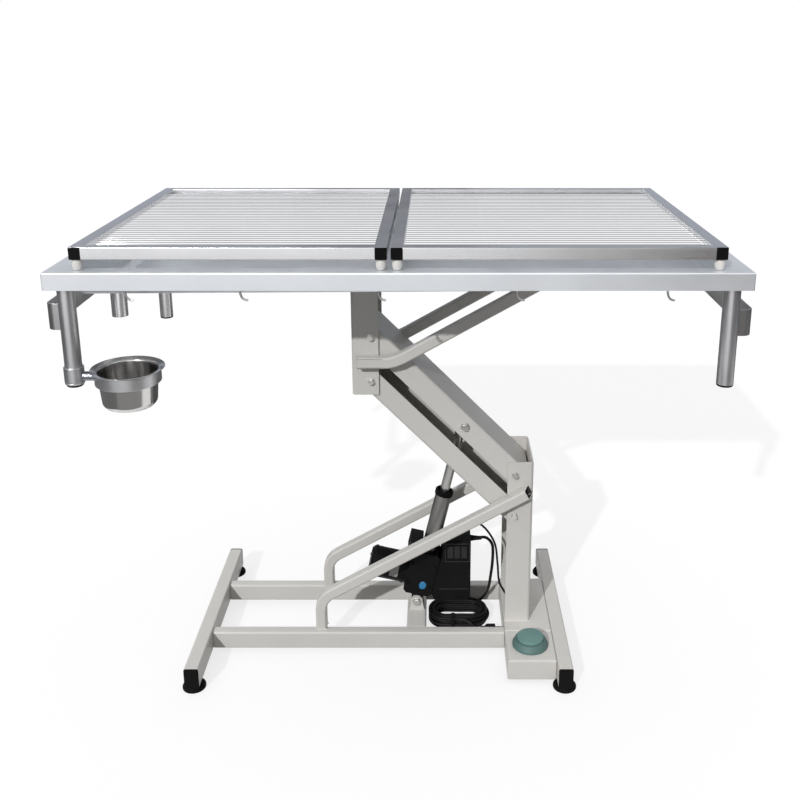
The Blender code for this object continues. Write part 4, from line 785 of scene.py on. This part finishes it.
# A far brighter copy of the tube steel: painted light for the drain and rear posts, which stand in the
# tray's shadow.
mill_tube = worked_metal("mill_tube", (0.90, 0.905, 0.91), (0.95, 0.955, 0.96), (0.18, 0.32), UPRIGHT)
bar_steel = worked_metal("polished_bar", (0.42, 0.42, 0.425), (0.50, 0.50, 0.50), POLISH, (700, 12, 700))
DRAIN_WALL = 0.002
edge = drain_size.x / 2
drain = lathe(eased(pipe(edge - DRAIN_WALL, edge, 0, drain_size.z), 0.0006), place=drain_stand)
show("drain_pipe_finished", drain, [mill_tube], "table", ["drain_pipe"])
POST_RADIUS, POST_WALL, BEAD_RADIUS, BEAD_TOP = 0.016, 0.0015, 0.0185, 0.009
PLUG_SHOWS, PLUG_LONG, PLUG_PLAY = 0.0042, 0.016, 0.0002
post_bore = POST_RADIUS - POST_WALL
cap_edge, stem = POST_RADIUS - 0.0003, post_bore - PLUG_PLAY
stopper = [
    (0, 0), (POST_RADIUS - 0.002, 0), (cap_edge, 0.0013), (cap_edge, PLUG_SHOWS - PLUG_PLAY),
    (stem, PLUG_SHOWS - PLUG_PLAY), (stem, PLUG_LONG), (0, PLUG_LONG),
]
bead = [(BEAD_RADIUS, PLUG_SHOWS + 0.0015), (BEAD_RADIUS, BEAD_TOP - 0.001), (POST_RADIUS, BEAD_TOP)]
for node in ("post_front_left", "post_front_right", "post_rear_left", "post_rear_right"):
    stand, size = standing(node)
    profile = pipe(post_bore, POST_RADIUS, PLUG_SHOWS, size.z)
    if node == "post_front_left":
        profile[2:2] = bead
    post = lathe(eased(profile, 0.0009), place=stand)
    lathe(eased(stopper, 0.0006), 64, post, stand, 1)
    # Rear posts take the brighter copy, painted light.
    outside = tube_steel if "front" in node else mill_tube
    show(f"{node}_finished", post, [outside, black_rubber], "table", [node])
post_stand = standing("post_front_left")[0]
HANDLE_LAP = 0.005


def behind_post(point):
    """The bar's end drawn back until the post covers it."""
    reach = max(abs(point.x), abs(post_stand.translation.x) - HANDLE_LAP)
    return Vector((copysign(reach, point.x), point.y, point.z))


for node in ("handle_left", "handle_right"):
    softened(node, 0.0006, bar_steel, moved=behind_post)


# Grilles
# Two lift-out panels: a frame of square stainless tube with round rods laid across on two stays.
# The rods' ends are let into the frame, and black plugs close the side bars' ends.
BAR, BAR_ROUND, BAR_SLACK = 0.024, 0.0018, 0.0003
END_PLUG, PLUG_SLACK, PLUG_ROUND = 0.006, 0.0006, 0.0015
ROD, ROD_PITCH, ROD_BELOW_TOP, STAY, LET_IN = 0.005, 0.019, 0.008, 0.004, 0.003
frame_steel = worked_metal(
    "frame_tube", (0.70, 0.705, 0.715), (0.78, 0.785, 0.795), (0.24, 0.36), (12, 12, 900)
)
rod_steel = worked_metal(
    "bright_rod", (0.88, 0.885, 0.895), (0.92, 0.925, 0.935), (0.04, 0.07), (20, 700, 700)
)
rod_sizes = {"Length": "Depth", "Radius": "Radius"}
rod_row = row_tree("rod_row", "GeometryNodeMeshCylinder", {"Vertices": 14}, rod_sizes)
for panel in ("grille_left", "grille_right"):
    low, high = corners(panel)
    bars = bmesh.new()
    for x in (low.x, high.x - BAR):
        slab(bars, (x, low.y + BAR_ROUND, low.z), (x + BAR, high.y - BAR_ROUND, high.z), BAR_ROUND)
    left, right = low.x + BAR - LET_IN, high.x - BAR + LET_IN
    for y in (low.y + BAR_SLACK, high.y - BAR + BAR_SLACK):
        deep = BAR - 2 * BAR_SLACK
        slab(bars, (left, y, low.z + BAR_SLACK), (right, y + deep, high.z - BAR_SLACK), BAR_ROUND)
    steel_faces = len(bars.faces)
    for x in (low.x + PLUG_SLACK, high.x - BAR + PLUG_SLACK):
        for y in (low.y, high.y - END_PLUG):
            far_corner = (x + BAR - 2 * PLUG_SLACK, y + END_PLUG, high.z - PLUG_SLACK)
            slab(bars, (x, y, low.z + PLUG_SLACK), far_corner, PLUG_ROUND)
    bars.faces.ensure_lookup_table()
    for face in bars.faces[steel_faces:]:
        face.material_index = 1
    show(f"{panel}_frame", bars, [frame_steel, black_rubber], panel, [panel])
    inside = high.y - low.y - 2 * BAR
    count = int(inside / ROD_PITCH) - 1
    z = high.z - ROD_BELOW_TOP - ROD
    first = ((low.x + high.x) / 2, mid_y - (count - 1) / 2 * ROD_PITCH, z)
    values = {
        "Count": count, "First": first, "Pitch": (0, ROD_PITCH, 0), "Turn": (0, pi / 2, 0),
        "Length": right - left, "Radius": ROD, "Material": rod_steel,
    }
    grown(f"{panel}_rods", rod_row, values, panel)
    third = (high.x - low.x) / 3
    values = {
        "Count": 2, "First": (low.x + third, mid_y, z - ROD - STAY / 2), "Pitch": (third, 0, 0),
        "Turn": (pi / 2, 0, 0), "Length": inside + 2 * LET_IN, "Radius": STAY, "Material": rod_steel,
    }
    grown(f"{panel}_stays", rod_row, values, panel)


# Rubber bumpers
# Barrel-shaped natural-rubber feet screwed under the grille frames, which rest on the tray's rim.
# The rubber is a warm pale grey.
natural_rubber = moulded(
    "natural_rubber", (0.66, 0.645, 0.62), (0.74, 0.725, 0.70), (0.4, 0.6), 500, 0.0003, 60.0
)
for node, body in body_of_node.items():
    if node.startswith("bumper_"):
        stand, size = standing(node)
        edge, tall = size.x / 2, size.z
        profile = [(0, 0), (edge * 0.72, 0), (edge, tall * 0.38), (edge, tall * 0.72), (edge * 0.86, tall),
                   (0, tall)]
        barrel = lathe(eased(profile, 0.004), 48, place=stand)
        show(f"{node}_rubber", barrel, [natural_rubber], body, [node])


# Bowl holder and bowl
# A tube sleeve that turns on the post, a short round rod and a rolled strip ring, and a spun steel bowl.
# The bowl is mirror bright with spinning lines; its flared rim hangs on the ring.
bowl_steel = worked_metal(
    "spun_steel", (0.58, 0.57, 0.56), (0.66, 0.655, 0.65), (0.08, 0.18), (40, 40, 900), 0.00001, 0.1
)
rod_zinc = worked_metal("blue_zinc", (0.20, 0.21, 0.24), (0.30, 0.31, 0.34), (0.18, 0.34), (40, 500, 500))
SLEEVE_BORE, SLEEVE_OUTER, SLEEVE_TALL, SLEEVE_PLAY = 0.0163, 0.0188, 0.029, 0.0003
RING_BORE, RING_OUTER, RING_TALL, RING_RISE = 0.0585, 0.0615, 0.020, 0.0028
HOLDER_ROD, ROD_BELOW_MIDDLE, ROD_LET_IN = 0.009, 0.005, 0.001
to_right = Matrix.Rotation(pi / 2, 4, "Y")
bowl_stand, bowl_size = standing("bowl")
at_post, at_bowl = post_stand.translation, bowl_stand.translation
sleeve_base = at_post.z + BEAD_TOP + SLEEVE_PLAY
rod_height = sleeve_base + SLEEVE_TALL / 2 - ROD_BELOW_MIDDLE
sleeve = eased(pipe(SLEEVE_BORE, SLEEVE_OUTER, 0, SLEEVE_TALL), 0.0008)
holder = lathe(sleeve, place=Matrix.Translation((at_post.x, at_post.y, sleeve_base)))
ring = eased(pipe(RING_BORE, RING_OUTER, 0, RING_TALL + RING_RISE), 0.0008)
lathe(ring, 96, holder, Matrix.Translation((at_bowl.x, at_bowl.y, rod_height - RING_TALL / 2)))
rod_start = at_post.x + SLEEVE_OUTER - ROD_LET_IN
rod_end = at_bowl.x - RING_OUTER + ROD_LET_IN
rod_place = Matrix.Translation((rod_start, at_post.y, rod_height)) @ to_right
lathe(pipe(0, HOLDER_ROD, 0, rod_end - rod_start), 48, holder, rod_place, 1)
show("bowl_holder_finished", holder, [tube_steel, rod_zinc], "bowl_holder", ["bowl_holder"])
WALL, BODY, FOOT, HEEL, FLARE = 0.0012, 0.0567, 0.051, 0.008, 0.0034
rim, tall = bowl_size.x / 2, bowl_size.z
profile = [
    (0, 0), (FOOT - HEEL, 0), (FOOT, HEEL), (BODY, tall - FLARE - WALL), (rim, tall - WALL), (rim, tall),
    (BODY - WALL, tall - FLARE), (FOOT - WALL, HEEL + WALL / 2), (FOOT - HEEL, WALL), (0, WALL),
]
spun = lathe(eased(profile, 0.004, 6), 128, place=bowl_stand)
show("bowl_finished", spun, [bowl_steel], "bowl", ["bowl"])


# Cords
# A thin lead from the control box to the floor box, and a black mains lead that ends in an oval hank.
# Both are round PVC cord; the mains lead has a tapered relief where it leaves the box, and a two-pin plug.
cord_sheath = moulded(
    "cord_sheath", (0.0055, 0.0055, 0.0055), (0.009, 0.009, 0.009), (0.40, 0.55), 900, 0.0002, gloss=0.16
)
GAP = 0.0003
GLAND = 0.006
THIN, THICK = 0.0025, 0.0035
BOX_TOP_GLAND = Vector((0.1015, mid_y, 0.244))
BOX_SIDE_GLAND = Vector((0.150, mid_y, 0.235))
FLOOR_GLAND = Vector((0.246, mid_y, 0.060))
HANK_BACK = 0.025
HANK_X, HANK_Y = 0.124, mid_y + HANK_BACK
HANK_LENGTH, HANK_WIDTH, HANK_STEP, HANK_LAYER = 0.144, 0.090, 0.0085, 0.0085
HANK_TURNS, HANK_LAYERS, POINTS_A_TURN = 2, 4, 24


def curve_through(places, parts):
    """A smooth curve from the second place to the last but one, in equal parts between places."""
    points = []
    for before, start, end, after in zip(places, places[1:], places[2:], places[3:]):
        for i in range(parts):
            t = i / parts
            points.append(0.5 * (
                2 * start + (end - before) * t
                + (2 * before - 5 * start + 4 * end - after) * t ** 2
                + (3 * start - before - 3 * end + after) * t ** 3
            ))
    return points + [places[-2]]


def finer(points):
    """The same route with two more points between each pair."""
    return curve_through([points[0]] + points + [points[-1]], 3)


def measured(points):
    """Length of a line of points."""
    return sum((b - a).length for a, b in zip(points, points[1:]))


def smooth_route(places, spacing):
    """Points at an even spacing on a smooth curve through the chosen places, with straight ends."""
    fine = curve_through(places, 40)
    length = measured(fine)
    count = round(length / spacing)
    points = [places[0], fine[0]]
    travelled = 0.0
    for a, b in zip(fine, fine[1:]):
        travelled += (b - a).length
        if travelled * count >= length * (len(points) - 1) and len(points) <= count:
            points.append(b)
    return points + places[-2:]


def tube_along(points, radius, sides=16):
    """A closed round tube along points, its section carried without twist."""
    neighbours = zip(points[:1] + points, points[1:] + points[-1:])
    directions = [(ahead - behind).normalized() for behind, ahead in neighbours]
    across = directions[0].orthogonal().normalized()
    turns = [2 * pi * k / sides for k in range(sides)]
    rows = []
    for point, along in zip(points, directions):
        across = (across - along * across.dot(along)).normalized()
        upward = along.cross(across)
        rows.append([point + radius * (across * cos(a) + upward * sin(a)) for a in turns])
    shell = bmesh.new()
    skin(shell, rows, capped=True)
    return shell


def cord_piece(name, points, radius, nodes):
    """A round cord that leaves the actuator and follows the base below a height."""
    piece = as_piece(name, tube_along(points, radius), [cord_sheath], 50)
    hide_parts(*nodes)
    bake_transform(piece)
    return piece


def hank_points(per_turn):
    """Oval loops on the floor, in and out by turns, that climb a layer wherever the spiral reverses."""
    half_turn = per_turn // 2
    run = HANK_TURNS * per_turn
    leg = run + half_turn
    outer = HANK_WIDTH / 2
    straight = (HANK_LENGTH - HANK_WIDTH) / 2
    low = THICK + GAP
    points = [Vector((HANK_X + 2 * THICK, HANK_Y + outer, low))]
    for i in range(HANK_LAYERS * leg - half_turn + 1):
        layer, step = divmod(i, leg)
        climbed = layer + max(step - run, 0) / half_turn
        inward = min(step, run) if layer % 2 == 0 else run - min(step, run)
        radius = outer - HANK_STEP * inward / per_turn
        side = 1 if i // half_turn % 2 == 0 else -1
        place = i % half_turn
        angle = pi / 2 + pi * (place - 1) / (half_turn - 2)
        u = radius * cos(angle) - straight if place else 0.0
        v = radius * sin(angle) if place else radius
        points.append(Vector((HANK_X + side * u, HANK_Y + side * v, low + HANK_LAYER * climbed)))
    last = points[-1]
    points.append(last + Vector((0.015, -0.004, 0)))
    points.append(last + Vector((0.028, -0.0105, -0.005)))
    return points


def beside_middle(rows):
    """Places given by their distance behind the table's middle."""
    return [Vector((x, mid_y + y, z)) for x, y, z in rows]


up = Vector((0, 0, GLAND + GAP))
out = Vector((GLAND + GAP, 0, 0))
rise = Vector((0, 0, 0.007))
thin_drop = ((0.118, 0, 0.274), (0.146, -0.004, 0.284), (0.180, -0.006, 0.268), (0.207, -0.006, 0.225),
             (0.215, -0.004, 0.170), (0.220, -0.002, 0.120), (0.236, 0, 0.086))
thin_route = [BOX_TOP_GLAND + up, BOX_TOP_GLAND + up + rise] + beside_middle(thin_drop)
thin_route += [FLOOR_GLAND + up + rise, FLOOR_GLAND + up]
thin_points = finer(smooth_route(thin_route, 0.008))
thin_lead = cord_piece("switch_lead_cord", thin_points, THIN, ["switch_lead"])
hank = hank_points(POINTS_A_TURN)
plug_low, plug_high = corners("mains_plug")
plug_start = (plug_low + plug_high) / 2
plug_start.x = plug_low.x - GAP
hank_side = HANK_BACK + HANK_WIDTH / 2
mains_drop = ((0.185, 0.001, 0.236), (0.199, 0.004, 0.222), (0.204, 0.008, 0.202), (0.204, 0.016, 0.160),
              (0.201, 0.032, 0.112), (0.198, 0.052, 0.070), (0.192, 0.070, 0.040),
              (0.178, hank_side + 0.009, 0.017), (0.158, hank_side + 0.005, THICK + 0.002))
side_exit = BOX_SIDE_GLAND + out
mains_route = [side_exit, side_exit + Vector((0.010, 0, 0))] + beside_middle(mains_drop)
mains_route += [hank[0] + Vector((0.008, 0, 0)), hank[0] + Vector((GAP, 0, 0))]
mains_points = smooth_route(mains_route, 0.010)[:-1] + hank[1:]
mains_points = finer(mains_points + [plug_start - Vector((2 * THICK, 0, 0)), plug_start])
mains_cord = cord_piece("mains_cord", mains_points, THICK, ["mains_lead", "mains_hank"])
TIE_X, TIE_HALF, TIE_THICK, TIE_FLAT = HANK_X - 0.014, 0.0045, 0.0012, 0.0001
side_out = HANK_Y - HANK_WIDTH / 2 - THICK - GAP
side_in = HANK_Y - HANK_WIDTH / 2 + HANK_TURNS * HANK_STEP + THICK + GAP
tie_tall = THICK + GAP + HANK_LAYER * (HANK_LAYERS - 1) + THICK + GAP
tie_mid, tie_half = (side_out + side_in) / 2, (side_in - side_out) / 2
half_tall = tie_tall / 2 - TIE_FLAT
inside = rounded_rectangle(tie_half, half_tall, 0.004, 6)
outside = rounded_rectangle(tie_half + TIE_THICK, half_tall + TIE_THICK, 0.005, 6)
rows = []
for x, loop in ((-TIE_HALF, inside), (-TIE_HALF, outside), (TIE_HALF, outside), (TIE_HALF, inside)):
    rows.append([(TIE_X + x, tie_mid + u, max(tie_tall / 2 + v, 0.0)) for u, v in loop])
tie = bmesh.new()
skin(tie, rows, closed=True)
tie_piece = show("hank_tie", tie, [black_plastic], "base", (), 50)
plug_piece = softened("mains_plug", 0.0008, cord_sheath, 2, 45, "plug_finished")
profile = [(0, -0.001), (0.0062, -0.001), (0.0058, 0.004), (0.0042, 0.020), (0, 0.020)]
relief_place = Matrix.Translation(BOX_SIDE_GLAND + Vector((GLAND, 0, 0))) @ to_right
relief = lathe(eased(profile, 0.001), 40, place=relief_place)
show("mains_relief", relief, [cord_sheath], "actuator_body")


# Floor, light and camera
# A plain white studio: a pale floor with a faint shadow, a low sun from the front left, even fill from the
# world, and grey cards on the floor, behind, above, in front and beside for the metal to reflect.
FLOOR = 14.0
NO_GLOSS = {"Specular IOR Level": 0.0}
FLOOR_GREY, FLOOR_GLOW = 0.24, 0.74
FILL_LOW, FILL_HIGH = 0.04, 1.15
SUN_POWER, SUN_ANGLE, SUN_ALONG = 2.15, radians(1.2), Vector((0.34, 0.78, -0.51))


def stage_plane(name, corner, along, across, surface):
    """A flat stage piece from one corner and two sides."""
    corner, along, across = Vector(corner), Vector(along), Vector(across)
    mesh = bpy.data.meshes.new(name)
    mesh.from_pydata([corner, corner + along, corner + along + across, corner + across], [], [(0, 1, 2, 3)])
    mesh.materials.append(surface)
    plane = placed(name, mesh)
    return plane


def seen_rays(tree):
    """One where a camera, glossy or transmitted ray arrives, else nought."""
    rays = tree.nodes.new("ShaderNodeLightPath")
    total = rays.outputs["Is Camera Ray"]
    for label in ("Is Glossy Ray", "Is Transmission Ray"):
        either = add_node(tree, "ShaderNodeMath", operation="MAXIMUM")
        tree.links.new(total, either.inputs[0])
        join(tree, (rays, label, either, 1))
        total = either.outputs["Value"]
    return total


def reflected_card(name, corner, along, across, colour):
    """A glowing grey card that only bright metal shows."""
    glow = {"Base Color": (0, 0, 0, 1), "Emission Color": (*colour, 1), "Emission Strength": 1.0}
    plane = stage_plane(name, corner, along, across, new_material(name, NO_GLOSS | glow)[0])
    for kind in ("camera", "diffuse", "shadow", "transmission"):
        setattr(plane, f"visible_{kind}", False)


matt = {"Base Color": (FLOOR_GREY, FLOOR_GREY, FLOOR_GREY, 1), "Roughness": 0.9}
pale_floor, tree, shader = new_material("pale_floor", NO_GLOSS | matt)
glow = add_node(tree, "ShaderNodeEmission", {"Color": (1, 1, 1, 1)})
share = add_node(tree, "ShaderNodeMath", {1: FLOOR_GLOW}, operation="MULTIPLY")
both = tree.nodes.new("ShaderNodeAddShader")
tree.links.new(seen_rays(tree), share.inputs[0])
join(
    tree, (share, "Value", glow, "Strength"), (shader, "BSDF", both, 0), (glow, "Emission", both, 1),
    (both, "Shader", tree.nodes["Material Output"], "Surface"),
)
stage_plane("floor", (-FLOOR, -FLOOR, 0), (2 * FLOOR, 0, 0), (0, 2 * FLOOR, 0), pale_floor)
for name, corner, along, across, colour in (
    ("floor_front", (-3, -2.6, 0.004), (6, 0, 0), (0, 1.8, 0), (0.30, 0.295, 0.29)),
    ("floor_rear", (-3, 0.4, 0.004), (6, 0, 0), (0, 3.2, 0), (0.10, 0.10, 0.10)),
    ("floor_left", (-5, -2.6, 0.006), (3.7, 0, 0), (0, 5, 0), (0.17, 0.17, 0.17)),
    ("floor_right", (0.8, -4.3, 0.004), (3.2, 0, 0), (0, 1.7, 0), (0.18, 0.16, 0.15)),
    ("floor_far", (0.6, -6, 0.004), (3.4, 0, 0), (0, 1.7, 0), (0.40, 0.40, 0.42)),
    ("front_right", (0.9, -4.4, 0.1), (3.6, 1.2, 0), (0, 0, 3.1), (0.15, 0.145, 0.14)),
    ("back", (-5, 4.6, 0.3), (10, 0, 0), (0, 0, 2.3), (0.42, 0.45, 0.52)),
    ("back_middle", (-0.9, 4.4, 1.2), (1.25, 0, 0), (0, 0, 1.0), (0.09, 0.09, 0.10)),
    ("back_upper", (-6, 4.8, 2.6), (12, 0, 0), (0, 0, 3.4), (0.34, 0.35, 0.38)),
    ("top", (-6, 1.5, 6.0), (12, 0, 0), (0, 3.3, 0), (0.10, 0.10, 0.11)),
    ("left", (-2.6, -2.4, 0.05), (0, 4.8, 0), (0, 0, 1.65), (0.13, 0.13, 0.14)),
    ("right", (2.6, -2.4, 0.05), (0, 4.8, 0), (0, 0, 1.65), (0.13, 0.13, 0.14)),
):
    reflected_card(f"card_{name}", corner, along, across, colour)
world = bpy.data.worlds.new("studio")
bpy.context.scene.world = world
world.use_nodes = True
tree = world.node_tree
background = tree.nodes["Background"]
background.inputs["Color"].default_value = (1, 1, 1, 1)
upwards = tree.nodes.new("ShaderNodeTexCoord")
parts = tree.nodes.new("ShaderNodeSeparateXYZ")
ends = {"To Min": FILL_LOW, "To Max": FILL_HIGH}
fill = add_node(tree, "ShaderNodeMapRange", ends, interpolation_type="SMOOTHSTEP")
strength = add_node(tree, "ShaderNodeMapRange", {"To Max": 1.0})
tree.links.new(seen_rays(tree), strength.inputs["Value"])
join(
    tree, (upwards, "Generated", parts, "Vector"), (parts, "Z", fill, "Value"),
    (fill, "Result", strength, "To Min"), (strength, "Result", background, "Strength"),
)
sun_data = bpy.data.lights.new("sun", "SUN")
sun_data.energy = SUN_POWER
sun_data.angle = SUN_ANGLE
placed("sun", sun_data).rotation_euler = SUN_ALONG.to_track_quat("-Z", "Y").to_euler()
CAMERA_PLACE = Vector((0.0673, -2.0599 + mid_y, 1.3992))
CAMERA_DIP = 0.2747
FOCAL_PIXELS = 973.0
IMAGE_PIXELS = 800
AXIS_PIXEL = Vector((435.35, 300.0))
lens = bpy.data.cameras.new("camera")
lens.sensor_width = 36.0
lens.lens = FOCAL_PIXELS / IMAGE_PIXELS * lens.sensor_width
lens.shift_x = (IMAGE_PIXELS / 2 - AXIS_PIXEL.x) / IMAGE_PIXELS
lens.shift_y = (AXIS_PIXEL.y - IMAGE_PIXELS / 2) / IMAGE_PIXELS
camera = placed("camera", lens)
camera.location = CAMERA_PLACE
camera.rotation_euler = (pi / 2 - CAMERA_DIP, 0, 0)
bpy.context.scene.camera = camera
bpy.context.scene.view_settings.view_transform = "Standard"
